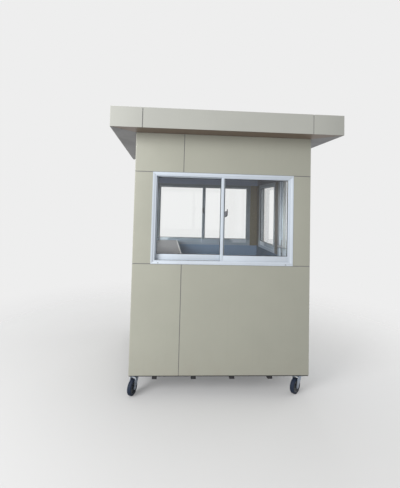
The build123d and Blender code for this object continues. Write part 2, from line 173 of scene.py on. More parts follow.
def trim(solid: Solid, point: Vector, outward: Vector) -> None:
    """Cuts off what lies past a plane and closes the cut.

    Args:
        solid: The closed solid to cut.
        point: A point of the plane.
        outward: The plane's normal, towards what is removed.
    """
    geometry = [*solid.verts, *solid.edges, *solid.faces]
    cut = bmesh.ops.bisect_plane(solid, geom=geometry, plane_co=point, plane_no=outward, clear_outer=True)
    rim = [item for item in cut["geom_cut"] if isinstance(item, bmesh.types.BMEdge)]
    bmesh.ops.holes_fill(solid, edges=rim, sides=0)
    bmesh.ops.recalc_face_normals(solid, faces=solid.faces)


def soften(solid: Solid, radius: float, segments: int = 2, least_angle: float = 30) -> Solid:
    """Bevels a solid's sharp edges.

    Args:
        solid: The solid to change.
        radius: Width of the bevel.
        segments: Faces across the bevel.
        least_angle: Edges that turn by less than this many degrees stay.

    Returns:
        The same bmesh.
    """
    least = math.radians(least_angle)
    sharp = [edge for edge in solid.edges if len(edge.link_faces) == 2 and edge.calc_face_angle() > least]
    bmesh.ops.bevel(
        solid, geom=sharp, offset=radius, offset_type="OFFSET", segments=segments,
        profile=0.5, affect="EDGES", material=-1, clamp_overlap=True,
    )
    return solid


def arc(centre: Sequence[float], radius: float, start: float, end: float, steps: int) -> list[Pair]:
    """Points of an arc.

    Args:
        centre: Its centre, as a pair.
        radius: Its radius.
        start: Angle of the first point, in degrees.
        end: Angle of the last point, in degrees.
        steps: Number of chords.

    Returns:
        The points, one more than the chords.
    """
    angles = [math.radians(start + (end - start) * i / steps) for i in range(steps + 1)]
    return [(centre[0] + radius * math.cos(a), centre[1] + radius * math.sin(a)) for a in angles]


def rounded_box(width: float, height: float, radius: float, steps: int = 5) -> list[Pair]:
    """Outline of a rectangle with round corners, about its own centre.

    Args:
        width: Size across.
        height: Size up.
        radius: Radius of the corners.
        steps: Chords of each corner.

    Returns:
        The outline's points, anticlockwise.
    """
    x = width / 2 - radius
    y = height / 2 - radius
    corners = ((x, y, 0), (-x, y, 90), (-x, -y, 180), (x, -y, 270))
    return [point for cx, cy, turn in corners for point in arc((cx, cy), radius, turn, turn + 90, steps)]


def turned(profile: Iterable[Sequence[float]], steps: int = 48) -> Solid:
    """Spins a closed profile about Z.

    Args:
        profile: Pairs of radius and height, in order round the section.
        steps: Faces of the full turn.

    Returns:
        A new bmesh, closed, with its faces outward.
    """
    solid = bmesh.new()
    ring = [solid.verts.new((radius, 0, height)) for radius, height in profile]
    edges = [solid.edges.new(pair) for pair in zip(ring, ring[1:] + ring[:1])]
    bmesh.ops.spin(
        solid, geom=[*ring, *edges], cent=(0, 0, 0), axis=(0, 0, 1), dvec=(0, 0, 0),
        angle=FULL_TURN, steps=steps, use_merge=True,
    )
    bmesh.ops.remove_doubles(solid, verts=solid.verts, dist=WELD)
    bmesh.ops.recalc_face_normals(solid, faces=solid.faces)
    return solid


def turned_pin(radius: float, bottom: float, top: float, edge: float, steps: int = 24) -> Solid:
    """Makes a round pin along Z with eased ends.

    Args:
        radius: Its radius.
        bottom: Lower end.
        top: Upper end.
        edge: Width of the eased edges.
        steps: Faces round it.

    Returns:
        A new bmesh with the pin.
    """
    solid = bmesh.new()
    bmesh.ops.create_cone(
        solid, cap_ends=True, cap_tris=False, segments=steps,
        radius1=radius, radius2=radius, depth=top - bottom,
    )
    bmesh.ops.translate(solid, vec=(0, 0, (bottom + top) / 2), verts=solid.verts)
    return soften(solid, edge, least_angle=60)


def screw_head(radius: float, height: float) -> Solid:
    """Makes a pan head with a cross recess, its seat at Z zero.

    Args:
        radius: Radius of the head.
        height: Height of the head.

    Returns:
        A new bmesh with the head.
    """
    solid = turned_pin(radius, 0, height, height * 0.6, 16)
    slot = radius * 0.22
    reach = radius * 0.62
    for size in ((reach, slot), (slot, reach)):
        cut = block((-size[0], -size[1], height * 0.9), (size[0], size[1], height * 1.04))
        merge(solid, cut)
    return solid


def merge(target: Solid, solid: Solid, place: Matrix | None = None) -> None:
    """Adds a solid to another, set in place, and frees it.

    Args:
        target: The bmesh that takes the solid.
        solid: The bmesh to add.
        place: Where it goes, or None to leave it as it is.
    """
    if place is not None:
        bmesh.ops.transform(solid, matrix=place, verts=solid.verts)
        if place.determinant() < 0:
            bmesh.ops.reverse_faces(solid, faces=solid.faces)
    data = bpy.data.meshes.new("solid")
    solid.to_mesh(data)
    solid.free()
    target.from_mesh(data)
    bpy.data.meshes.remove(data)


class Piece:
    """Collects closed solids and becomes one object that rides on a body."""

    def __init__(self, name: str, slot: str, body: str = "booth") -> None:
        """Starts an empty piece.

        Args:
            name: The object's name.
            slot: The record's material slot, which also names the finish.
            body: The body that it rides on.
        """
        self.name = name
        self.slot = slot
        self.body = body
        self.mesh = bmesh.new()

    def add(self, solid: Solid, place: Matrix | None = None) -> None:
        """Adds a solid, set in place.

        Args:
            solid: The solid, which is freed.
            place: Where it goes.
        """
        merge(self.mesh, solid, place)

    def done(self, replaces: Iterable[str] = (), finish: "Finish | None" = None) -> bpy.types.Object:
        """Makes the object, dresses it, sets it on its body and hides the nodes that it stands for.

        Args:
            replaces: Nodes of the frame that it stands for.
            finish: Its finish, where that isn't its slot's own.

        Returns:
            The new object.
        """
        data = bpy.data.meshes.new(self.name)
        self.mesh.to_mesh(data)
        self.mesh.free()
        data.shade_smooth()
        data.set_sharp_from_angle(angle=SHARP_ANGLE)
        piece = bpy.data.objects.new(self.name, data)
        bpy.context.scene.collection.objects.link(piece)
        data.materials.append((finish or FINISHES[self.slot]).material())
        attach(piece, self.body)
        if replaces:
            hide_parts(*replaces)
        log.info("%s: %d faces", self.name, len(data.polygons))
        return piece


def bar(
    start: Sequence[float],
    end: Sequence[float],
    profile: Sequence[Sequence[float]],
    mitres: tuple[bool, bool] = (True, True),
    gap: float = 0.0003,
    edge: float = 0.0008,
) -> Solid:
    """Makes one bar of a frame in a side's axes. What it frames lies on the left of its run.

    Args:
        start: Where it starts: along the wall, and up.
        end: Where it ends.
        profile: Pairs of distance into the framed opening and depth into the wall.
        mitres: Whether its start and its end are cut at 45 degrees.
        gap: Width of the hairline left at each end.
        edge: Width of the eased edges.

    Returns:
        A new bmesh with the bar.
    """
    a = Vector((start[0], 0, start[1]))
    b = Vector((end[0], 0, end[1]))
    way = (b - a).normalized()
    inward = Vector((-way.z, 0, way.x))
    reach = max(abs(distance) for distance, _ in profile)
    before = reach if mitres[0] else -gap
    after = reach if mitres[1] else -gap
    solid = prism(profile, a - way * before, inward, INWARD, way * ((b - a).length + before + after))
    if mitres[0]:
        trim(solid, a + way * gap, inward - way)
    if mitres[1]:
        trim(solid, b - way * gap, inward + way)
    return soften(solid, edge, 1)


def ring(
    low: Sequence[float], high: Sequence[float], profile: Sequence[Sequence[float]], edge: float = 0.0008,
) -> Solid:
    """Frames a rectangle with four mitred bars of one profile.

    Args:
        low: Lower left corner of the rectangle: along the wall, and up.
        high: Upper right corner.
        profile: Pairs of distance into the rectangle and depth into the wall.
        edge: Width of the eased edges.

    Returns:
        A new bmesh in the axes of a side.
    """
    corners = [(low[0], low[1]), (high[0], low[1]), (high[0], high[1]), (low[0], high[1])]
    frame_mesh = bmesh.new()
    for start, end in zip(corners, corners[1:] + corners[:1]):
        merge(frame_mesh, bar(start, end, profile, edge=edge))
    return frame_mesh


# Materials


class Graph:
    """A node tree with short calls to add nodes and join them."""

    def __init__(self, tree: bpy.types.NodeTree) -> None:
        """Takes the tree to work in."""
        self.tree = tree

    def add(self, kind: str, settings: dict[str, Any] | None = None, **sockets: Any) -> bpy.types.Node:
        """Adds a node.

        Args:
            kind: The node's type, without its leading word.
            settings: Values of the node's own properties.
            **sockets: Values or sockets for its inputs, by name, with _ for a space.

        Returns:
            The new node.
        """
        node = self.tree.nodes.new("ShaderNode" + kind)
        for key, value in (settings or {}).items():
            setattr(node, key, value)
        for key, value in sockets.items():
            self.feed(node.inputs[key.replace("_", " ")], value)
        return node

    def feed(self, socket: Socket, value: Any) -> None:
        """Joins a socket to another, or sets its value.

        Args:
            socket: The input.
            value: The output that feeds it, or its value.
        """
        if isinstance(value, Socket):
            self.tree.links.new(value, socket)
        else:
            socket.default_value = value

    def math(self, operation: str, *values: Any) -> Socket:
        """Adds a Math node.

        Args:
            operation: Its operation.
            *values: Numbers or sockets for its inputs.

        Returns:
            Its output.
        """
        node = self.add("Math", {"operation": operation})
        for socket, value in zip(node.inputs, values):
            self.feed(socket, value)
        return node.outputs[0]

    def mix(self, factor: Any, first: Any, second: Any) -> Socket:
        """Mixes two colours.

        Args:
            factor: Share of the second.
            first: First colour or socket.
            second: Second colour or socket.

        Returns:
            The mixed colour's socket.
        """
        node = self.add("Mix", {"data_type": "RGBA"})
        for index, value in ((0, factor), (6, first), (7, second)):
            self.feed(node.inputs[index], value)
        return node.outputs[2]

    def ramp(
        self, value: Any, low: float, high: float, to_low: float = 0.0, to_high: float = 1.0,
    ) -> Socket:
        """Maps a range to another, held at its ends and eased between them.

        Args:
            value: The number or socket to map.
            low: Start of the range.
            high: End of the range.
            to_low: Result at the start.
            to_high: Result at the end.

        Returns:
            The mapped value's socket.
        """
        node = self.add("MapRange", {"interpolation_type": "SMOOTHSTEP"}, Value=value)
        names = ("From Min", "From Max", "To Min", "To Max")
        for name, number in zip(names, (low, high, to_low, to_high)):
            node.inputs[name].default_value = number
        return node.outputs[0]

    def dot(self, first: Socket, second: Socket) -> Socket:
        """Adds a dot product.

        Args:
            first: One vector.
            second: The other.

        Returns:
            Its value.
        """
        node = self.add("VectorMath", {"operation": "DOT_PRODUCT"})
        self.feed(node.inputs[0], first)
        self.feed(node.inputs[1], second)
        return node.outputs["Value"]

    def place(self) -> Socket:
        """The point's place in the booth's own axes."""
        return self.add("TexCoord").outputs["Object"]

    def upward(self, vector: Socket) -> Socket:
        """A vector's share along Z."""
        return self.add("SeparateXYZ", None, Vector=vector).outputs["Z"]

    def stretched(self, scale: Sequence[float]) -> Socket:
        """Scales the point's place.

        Args:
            scale: A factor for each axis.

        Returns:
            The scaled place.
        """
        node = self.add("Mapping", {"vector_type": "POINT"}, Vector=self.place())
        node.inputs["Scale"].default_value = scale
        return node.outputs[0]

    def noise(self, vector: Any, scale: Any, detail: float = 4.0, roughness: float = 0.55) -> Socket:
        """A noise value.

        Args:
            vector: Where it is read.
            scale: Its scale, a number or a socket.
            detail: Its octaves.
            roughness: Share of each finer octave.

        Returns:
            The value's socket.
        """
        inputs = {"Vector": vector, "Scale": scale, "Detail": detail, "Roughness": roughness}
        return self.add("TexNoise", None, **inputs).outputs["Fac"]


def effect(name: str, inputs: dict[str, float], outputs: Sequence[str]) -> Callable:
    """Turns a function that wires a graph into a shared node group, built once.

    Args:
        name: The group's name.
        inputs: Its number inputs, with their usual values.
        outputs: Names of its number outputs.

    Returns:
        A decorator.
    """

    def wrap(wire: Callable[[Graph, dict[str, Socket]], Sequence[Socket]]) -> Callable:
        """Wraps the function that wires the group.

        Args:
            wire: Takes the group's graph and inputs, and gives its outputs.

        Returns:
            A function that gives the group.
        """

        @functools.cache
        def tree() -> bpy.types.NodeTree:
            """Builds the group.

            Returns:
                The group, the same one at each call.
            """
            group = bpy.data.node_groups.new(name, "ShaderNodeTree")
            kind = "NodeSocketFloat"
            for key, value in inputs.items():
                group.interface.new_socket(key, in_out="INPUT", socket_type=kind).default_value = value
            for key in outputs:
                group.interface.new_socket(key, in_out="OUTPUT", socket_type=kind)
            entry = group.nodes.new("NodeGroupInput")
            end = group.nodes.new("NodeGroupOutput")
            graph = Graph(group)
            results = wire(graph, {key: entry.outputs[key] for key in inputs})
            for key, result in zip(outputs, results):
                graph.feed(end.inputs[key], result)
            return group

        return tree

    return wrap


@effect("Fine grain", {"Scale": 900.0, "Drift": 3.0}, ("Height", "Tone"))
def fine_grain(graph: Graph, given: dict[str, Socket]) -> tuple[Socket, ...]:
    """A fine tooth for bump, and a slow drift of tone.

    Args:
        graph: The group's graph.
        given: Its inputs.

    Returns:
        The height and the tone.
    """
    fine = graph.noise(graph.place(), given["Scale"], 2.0, 0.5)
    slow = graph.noise(graph.place(), given["Drift"], 5.0, 0.6)
    return fine, graph.ramp(slow, 0.3, 0.7)


@effect("Weather", {"Foot": 0.16, "Climb": 0.5, "Streaks": 1.0}, ("Dust", "Runs"))
def weather(graph: Graph, given: dict[str, Socket]) -> tuple[Socket, ...]:
    """Splashed dust that thins upward, and faint runs left by rain.

    Args:
        graph: The group's graph.
        given: Its inputs: where the dust starts, how far it climbs, and how strong the runs are.

    Returns:
        The dust mask and the mask of the runs.
    """
    above = graph.math("SUBTRACT", graph.upward(graph.place()), given["Foot"])
    rise = graph.math("DIVIDE", above, given["Climb"])
    low = graph.math("SUBTRACT", 1.0, graph.math("MINIMUM", graph.math("MAXIMUM", rise, 0.0), 1.0))
    cloud = graph.noise(graph.place(), 9.0, 8.0, 0.65)
    dust = graph.math("MULTIPLY", graph.math("POWER", low, 2.2), graph.ramp(cloud, 0.28, 0.72))
    lines = graph.noise(graph.stretched((34.0, 34.0, 1.1)), 1.0, 4.0, 0.6)
    runs = graph.math("MULTIPLY", graph.ramp(lines, 0.55, 0.8), given["Streaks"])
    return dust, runs


@effect("Edge wear", {"Reach": 0.0015, "Amount": 1.0}, ("Wear",))
def edge_wear(graph: Graph, given: dict[str, Socket]) -> tuple[Socket, ...]:
    """A mask of edges that are rubbed.

    Args:
        graph: The group's graph.
        given: Its inputs: how far the wear reaches, and how strong it is.

    Returns:
        The mask.
    """
    rounded = graph.add("Bevel", {"samples": 4}, Radius=given["Reach"]).outputs[0]
    flat = graph.add("NewGeometry").outputs["Normal"]
    turned_away = graph.ramp(graph.math("SUBTRACT", 1.0, graph.dot(rounded, flat)), 0.01, 0.2)
    broken = graph.ramp(graph.noise(graph.place(), 60.0, 6.0, 0.7), 0.42, 0.62)
    return (graph.math("MULTIPLY", graph.math("MULTIPLY", turned_away, broken), given["Amount"]),)


@effect("Settled dust", {"Amount": 1.0}, ("Dust",))
def settled_dust(graph: Graph, given: dict[str, Socket]) -> tuple[Socket, ...]:
    """Dust that lies on faces turned up.

    Args:
        graph: The group's graph.
        given: Its input: how much dust lies there.

    Returns:
        The mask.
    """
    level = graph.ramp(graph.upward(graph.add("NewGeometry").outputs["Normal"]), 0.3, 0.95)
    patches = graph.ramp(graph.noise(graph.place(), 5.0, 9.0, 0.7), 0.25, 0.75)
    return (graph.math("MULTIPLY", graph.math("MULTIPLY", level, patches), given["Amount"]),)


def placed_effect(graph: Graph, tree: Callable[[], bpy.types.NodeTree], **values: float) -> bpy.types.Node:
    """Places a shared effect in a material.

    Args:
        graph: The material's graph.
        tree: The effect.
        **values: Values for its inputs.

    Returns:
        The group's node.
    """
    node = graph.tree.nodes.new("ShaderNodeGroup")
    node.node_tree = tree()
    for key, value in values.items():
        node.inputs[key].default_value = value
    return node


def opaque(colour: Sequence[float]) -> tuple[float, ...]:
    """A colour with its alpha."""
    return (*colour, 1.0)


DUST = opaque((0.42, 0.37, 0.30))
RUN_SHADE = 0.82
DUST_ROUGHNESS = 0.4
GLOSS_SPREAD = (0.92, 1.1)
BRUSH_DEPTH = 0.05 * MM
BRUSH_STRETCH = 40
BAND_DRIFT = 1.12


@dataclass(frozen=True)
class Finish:
    """A painted, moulded or metal surface with its grain, wear and dirt."""

    name: str
    colour: Rgb
    roughness: float = 0.5
    metallic: float = 0.0
    specular: float = 0.5
    coat: float = 0.0
    grain: float = 900.0
    grain_depth: float = 0.00002
    tone: float = 0.06
    wave: float = 0.0
    dust: float = 0.0
    runs: float = 0.0
    foot: float = 0.0
    climb: float = 0.5
    settled: float = 0.1
    wear: float = 0.0
    worn_colour: Rgb = (0.55, 0.55, 0.54)
    brushed: float = 0.0

    def material(self) -> bpy.types.Material:
        """The finish's material, made at its first use."""
        return bpy.data.materials.get(self.name) or self.make()

    def make(self) -> bpy.types.Material:
        """Builds the material.

        Returns:
            The new material.
        """
        material = bpy.data.materials.new(self.name)
        material.use_nodes = True
        graph = Graph(material.node_tree)
        shader = material.node_tree.nodes["Principled BSDF"]
        shader.inputs["Metallic"].default_value = self.metallic
        shader.inputs["Specular IOR Level"].default_value = self.specular
        shader.inputs["Coat Weight"].default_value = self.coat
        self.dress(graph, shader)
        return material

    def dress(self, graph: Graph, shader: bpy.types.Node) -> None:
        """Wires the surface's colour, gloss and bump.

        Args:
            graph: The material's graph.
            shader: Its Principled node.
        """
        grain = placed_effect(graph, fine_grain, Scale=self.grain)
        soil = placed_effect(graph, weather, Foot=self.foot, Climb=self.climb, Streaks=self.runs)
        layer = placed_effect(graph, settled_dust, Amount=self.settled)
        colour = self.paint(graph, grain.outputs["Tone"])
        colour = graph.mix(soil.outputs["Runs"], colour, self.shade(RUN_SHADE))
        if self.wear:
            rubbed = placed_effect(graph, edge_wear, Amount=self.wear).outputs["Wear"]
            colour = graph.mix(rubbed, colour, opaque(self.worn_colour))
        thrown = graph.math("MULTIPLY", soil.outputs["Dust"], self.dust)
        dusty = graph.math("MAXIMUM", thrown, layer.outputs["Dust"])
        graph.feed(shader.inputs["Base Color"], graph.mix(dusty, colour, DUST))
        spread = [self.roughness * share for share in GLOSS_SPREAD]
        gloss = graph.ramp(grain.outputs["Tone"], 0.0, 1.0, *spread)
        rough = graph.math("ADD", gloss, graph.math("MULTIPLY", dusty, DUST_ROUGHNESS))
        graph.feed(shader.inputs["Roughness"], graph.math("MINIMUM", rough, 1.0))
        self.relief(graph, shader, grain.outputs["Height"])

    def relief(self, graph: Graph, shader: bpy.types.Node, height: Socket) -> None:
        """Wires the bump: waves of the sheet first, and its grain on them.

        Args:
            graph: The material's graph.
            shader: Its Principled node.
            height: The grain's height.
        """
        layers = [(self.grain_depth, height)]
        if self.brushed:
            lines = graph.stretched((self.brushed, self.brushed, self.brushed / BRUSH_STRETCH))
            layers.append((BRUSH_DEPTH, graph.noise(lines, 1.0, 3.0, 0.6)))
        if self.wave:
            layers.append((self.wave, graph.noise(graph.stretched((1.7, 1.7, 1.2)), 1.0, 1.0, 0.4)))
        under = {}
        for depth, relief in layers:
            bump = graph.add("Bump", None, Strength=1.0, Distance=depth, Height=relief, **under)
            under = {"Normal": bump.outputs[0]}
        graph.feed(shader.inputs["Normal"], under["Normal"])

    def paint(self, graph: Graph, tone: Socket) -> Socket:
        """The clean colour, which drifts a little.

        Args:
            graph: The material's graph.
            tone: The drift, from 0 to 1.

        Returns:
            The colour's socket.
        """
        return graph.mix(tone, self.shade(1 - self.tone), self.shade(1 + self.tone))

    def shade(self, factor: float) -> tuple[float, ...]:
        """The colour, lighter or darker by a factor."""
        return opaque([min(channel * factor, 1.0) for channel in self.colour])


@dataclass(frozen=True)
class LiningFinish(Finish):
    """The room's lining: one olive colour between the windows, with a bluish band of painted shade below
    the sills and one of painted skylight above the heads.
    """

    below: Rgb = (0.1, 0.13, 0.2)
    above: Rgb = (0.1, 0.13, 0.2)
    sill: float = 1.068
    head: float = 1.832

    def paint(self, graph: Graph, tone: Socket) -> Socket:
        """The olive colour and its two bands of painted light, parted at the windows' sills and heads.

        Args:
            graph: The material's graph.
            tone: The drift, from 0 to 1.

        Returns:
            The colour's socket.
        """
        height = graph.upward(graph.place())
        colour = super().paint(graph, tone)
        # Painted light: shade below the sills and skylight above the heads, laid on as colour bands.
        bands = (("LESS_THAN", self.sill, self.below), ("GREATER_THAN", self.head, self.above))
        for outside, level, paint in bands:
            band = graph.mix(tone, opaque(paint), opaque([channel * BAND_DRIFT for channel in paint]))
            colour = graph.mix(graph.math(outside, height, level), colour, band)
        return colour


@dataclass(frozen=True)
class FrameFinish(Finish):
    """Powder coat with painted shade: darker on the faces that look into the room, where the frames stand
    backlit, and less so on the foot rails, which catch more light.
    """

    room: Rgb = (0.24, 0.28, 0.32)
    rail: Rgb = (0.36, 0.43, 0.52)
    rail_top: float = 1.135
    room_face: Pair = (0.66, 0.68)

    def paint(self, graph: Graph, tone: Socket) -> Socket:
        """The coat's colour, with painted shade on the faces that look into the room, parted by which way a
        face looks from the booth's middle.

        Args:
            graph: The material's graph.
            tone: The drift, from 0 to 1.

        Returns:
            The colour's socket.
        """
        outside = super().paint(graph, tone)
        level = graph.add("VectorMath", {"operation": "MULTIPLY"})
        graph.feed(level.inputs[0], graph.place())
        level.inputs[1].default_value = (1.0, 1.0, 0.0)
        facing = graph.dot(level.outputs[0], graph.add("TexCoord").outputs["Normal"])
        near, far = self.room_face
        # Painted shade: room-side faces take the shaded colour, the foot rails below a less shaded one.
        inward = graph.ramp(facing, -far, -near, 1.0, 0.0)
        low = graph.math("LESS_THAN", graph.upward(graph.place()), self.rail_top)
        return graph.mix(inward, outside, graph.mix(low, opaque(self.room), opaque(self.rail)))


@dataclass(frozen=True)
class ClearGlass(Finish):
    """Float glass that lets lamps' light through."""

    index: float = 1.45
    shadow: Rgb = (0.80, 0.83, 0.82)
    haze: float = 0.03

    def make(self) -> bpy.types.Material:
        """Builds the glass.

        Returns:
            The new material.
        """
        material = bpy.data.materials.new(self.name)
        material.use_nodes = True
        graph = Graph(material.node_tree)
        shader = material.node_tree.nodes["Principled BSDF"]
        shader.inputs["Base Color"].default_value = opaque(self.colour)
        shader.inputs["Transmission Weight"].default_value = 1.0
        shader.inputs["IOR"].default_value = self.index
        haze = graph.noise(graph.place(), 3.0, 6.0, 0.7)
        graph.feed(shader.inputs["Roughness"], graph.ramp(haze, 0.45, 0.8, 0.0, self.haze))
        clear = graph.add("BsdfTransparent")
        clear.inputs["Color"].default_value = opaque(self.shadow)
        mixer = graph.add("MixShader")
        graph.feed(mixer.inputs[0], graph.add("LightPath").outputs["Is Shadow Ray"])
        graph.feed(mixer.inputs[1], shader.outputs[0])
        graph.feed(mixer.inputs[2], clear.outputs[0])
        graph.feed(material.node_tree.nodes["Material Output"].inputs["Surface"], mixer.outputs[0])
        return material


FINISHES = {
    "composite_panel": Finish(
        "champagne composite panel", (0.450, 0.452, 0.382), roughness=0.42, coat=0.05, grain=1400.0,
        grain_depth=6e-6, tone=0.02, wave=0.0015, dust=0.25, runs=0.12, foot=0.16, climb=0.4, settled=0.35,
    ),
    # Partly painted shade: the soffit's colour is darkened to stand for the little light that reaches under
    # the overhang.
    "soffit_panel": Finish(
        "soffit panel", (0.165, 0.161, 0.165), roughness=0.45, grain=1400.0, grain_depth=6e-6, tone=0.03,
        wave=0.001, settled=0.0,
    ),
    # Its bands below the sills and above the heads are painted shade and painted skylight.
    "wall_lining": LiningFinish(
        "olive wall lining with painted light bands", (0.215, 0.18, 0.11), grain=700.0, tone=0.05, wave=0.001, runs=0.05,
        below=(0.20, 0.295, 0.45), above=(0.275, 0.325, 0.45),
    ),
    "joint_seal": Finish(
        "joint seal", (0.22, 0.22, 0.22), roughness=0.8, grain=500.0, grain_depth=0.0001, tone=0.1,
        dust=0.5, foot=0.16, climb=1.0, settled=0.3,
    ),
    "clear_glass": ClearGlass("clear glass", (0.985, 0.992, 0.99), roughness=0.0),
    # Its room-side faces carry painted shade.
    "white_aluminium": FrameFinish(
        "white powder coat", (0.70, 0.77, 0.855), roughness=0.36, coat=0.1, grain=2600.0, grain_depth=1e-5,
        tone=0.03, dust=0.1, runs=0.1, foot=1.05, climb=0.3, settled=0.3, wear=0.25,
    ),
    "dark_hardware": Finish(
        "dark satin hardware", (0.075, 0.08, 0.09), roughness=0.35, metallic=0.6, grain=1500.0, tone=0.1,
        wear=0.6, worn_colour=(0.5, 0.5, 0.5),
    ),
    "satin_hardware": Finish(
        "satin hardware", (0.62, 0.63, 0.64), roughness=0.32, metallic=1.0, grain=1500.0, tone=0.04,
        brushed=900.0,
    ),
    "frame_steel": Finish(
        "dark primed steel", (0.022, 0.022, 0.024), roughness=0.6, grain=500.0, grain_depth=5e-5, tone=0.2,
        dust=0.05, foot=0.02, climb=0.12, wear=0.15, worn_colour=(0.12, 0.07, 0.045),
    ),
    "floor_vinyl": Finish(
        "grey sheet flooring", (0.14, 0.16, 0.19), grain=300.0, grain_depth=6e-5, tone=0.15, settled=0.35,
    ),
    "caster_rubber": Finish(
        "worn black rubber", (0.013, 0.024, 0.050), roughness=0.7, specular=0.35, grain=700.0,
        grain_depth=0.00012, tone=0.25, dust=0.3, foot=-0.02, climb=0.08, settled=0.08, wear=0.3,
        worn_colour=(0.07, 0.075, 0.08),
    ),
    "caster_zinc": Finish(
        "blue zinc plate", (0.34, 0.39, 0.46), roughness=0.34, metallic=0.85, grain=160.0, grain_depth=5e-5,
        tone=0.16, dust=0.35, foot=-0.02, climb=0.2, settled=0.3, wear=0.4, worn_colour=(0.22, 0.15, 0.10),
    ),
    "roof_sheet": Finish(
        "pale roof sheet", (0.50, 0.51, 0.50), roughness=0.45, grain=500.0, grain_depth=4e-5, tone=0.07,
        wave=0.002, runs=0.2, settled=0.6,
    ),
    "counter_laminate": Finish(
        "grey laminate", (0.22, 0.21, 0.228), roughness=0.42, specular=0.3, grain=240.0, grain_depth=1e-5,
        tone=0.05, settled=0.04,
    ),
    "counter_edging": Finish(
        "white edging", (0.72, 0.73, 0.73), roughness=0.4, tone=0.03, settled=0.3, wear=0.2,
    ),
}
# Painted light: the body's composite sheet, lighter and less yellow, for the stronger light on the top
# band.
FASCIA_PAINTED_LIGHTER = Finish(
    "composite fascia painted lighter", (0.49, 0.495, 0.455), roughness=0.62, grain=1400.0, grain_depth=6e-6,
    tone=0.02, wave=0.0012, runs=0.14, settled=0.4,
)
# Partly painted light: the frames' white coat without their painted room shade, and lighter, so the leaf
# reads bright from inside.
DOOR_COAT_PAINTED_LIGHTER = Finish(
    "white door coat painted lighter", (0.76, 0.83, 0.90), roughness=0.36, coat=0.1, grain=2600.0, grain_depth=1e-5,
    tone=0.03, dust=0.1, runs=0.1, foot=0.2, climb=0.4, settled=0.2, wear=0.25,
)
PALE_SEAL = Finish(
    "pale seal", (0.60, 0.62, 0.63), roughness=0.6, grain_depth=3e-5, tone=0.1,
)
LATCH_INLAY = Finish(
    "steel inlay", (0.33, 0.33, 0.37), roughness=0.45, metallic=0.2, grain=1500.0, tone=0.05, settled=0.05,
)
# Painted shade: the lining darkened for the door's wall, which stands backlit.
LINING_IN_PAINTED_SHADE = replace(
    FINISHES["wall_lining"], name="wall lining in painted shade", colour=(0.085, 0.072, 0.055),
    below=(0.042, 0.075, 0.125), above=(0.085, 0.085, 0.11),
)
# Painted light: a browner copy of the soffit panel for the front and back undersides, which get other light
# than the sides.
SOFFIT_ENDS_PAINTED_LIGHT = replace(FINISHES["soffit_panel"], name="soffit panel in painted light", colour=(0.19, 0.135, 0.10))
WHEEL_CENTRE = Finish(
    "dark wheel centre", (0.045, 0.055, 0.07), roughness=0.45, grain=700.0, grain_depth=6e-5, tone=0.2,
    dust=0.15, foot=-0.02, climb=0.12, wear=0.3, worn_colour=(0.3, 0.31, 0.33),
)
GASKET = Finish(
    "black gasket", (0.02, 0.021, 0.023), roughness=0.65, grain_depth=3e-5, tone=0.15, settled=0.15,
)


def dress_nodes() -> None:
    """Gives each node of the frame its slot's finish, and the door's wall a darker copy of the lining that
    paints the shade on that backlit wall.
    """
    for part in frame["record"]["subparts"]:
        node = frame["nodes"][part["node"]]
        # The right wall's nodes take the lining darkened by painted shade.
        dark = part["node"].startswith("right_wall")
        finish = LINING_IN_PAINTED_SHADE if dark else FINISHES[part["material_slot"]]
        node.data.materials.clear()
        node.data.materials.append(finish.material())


# Folded sheets


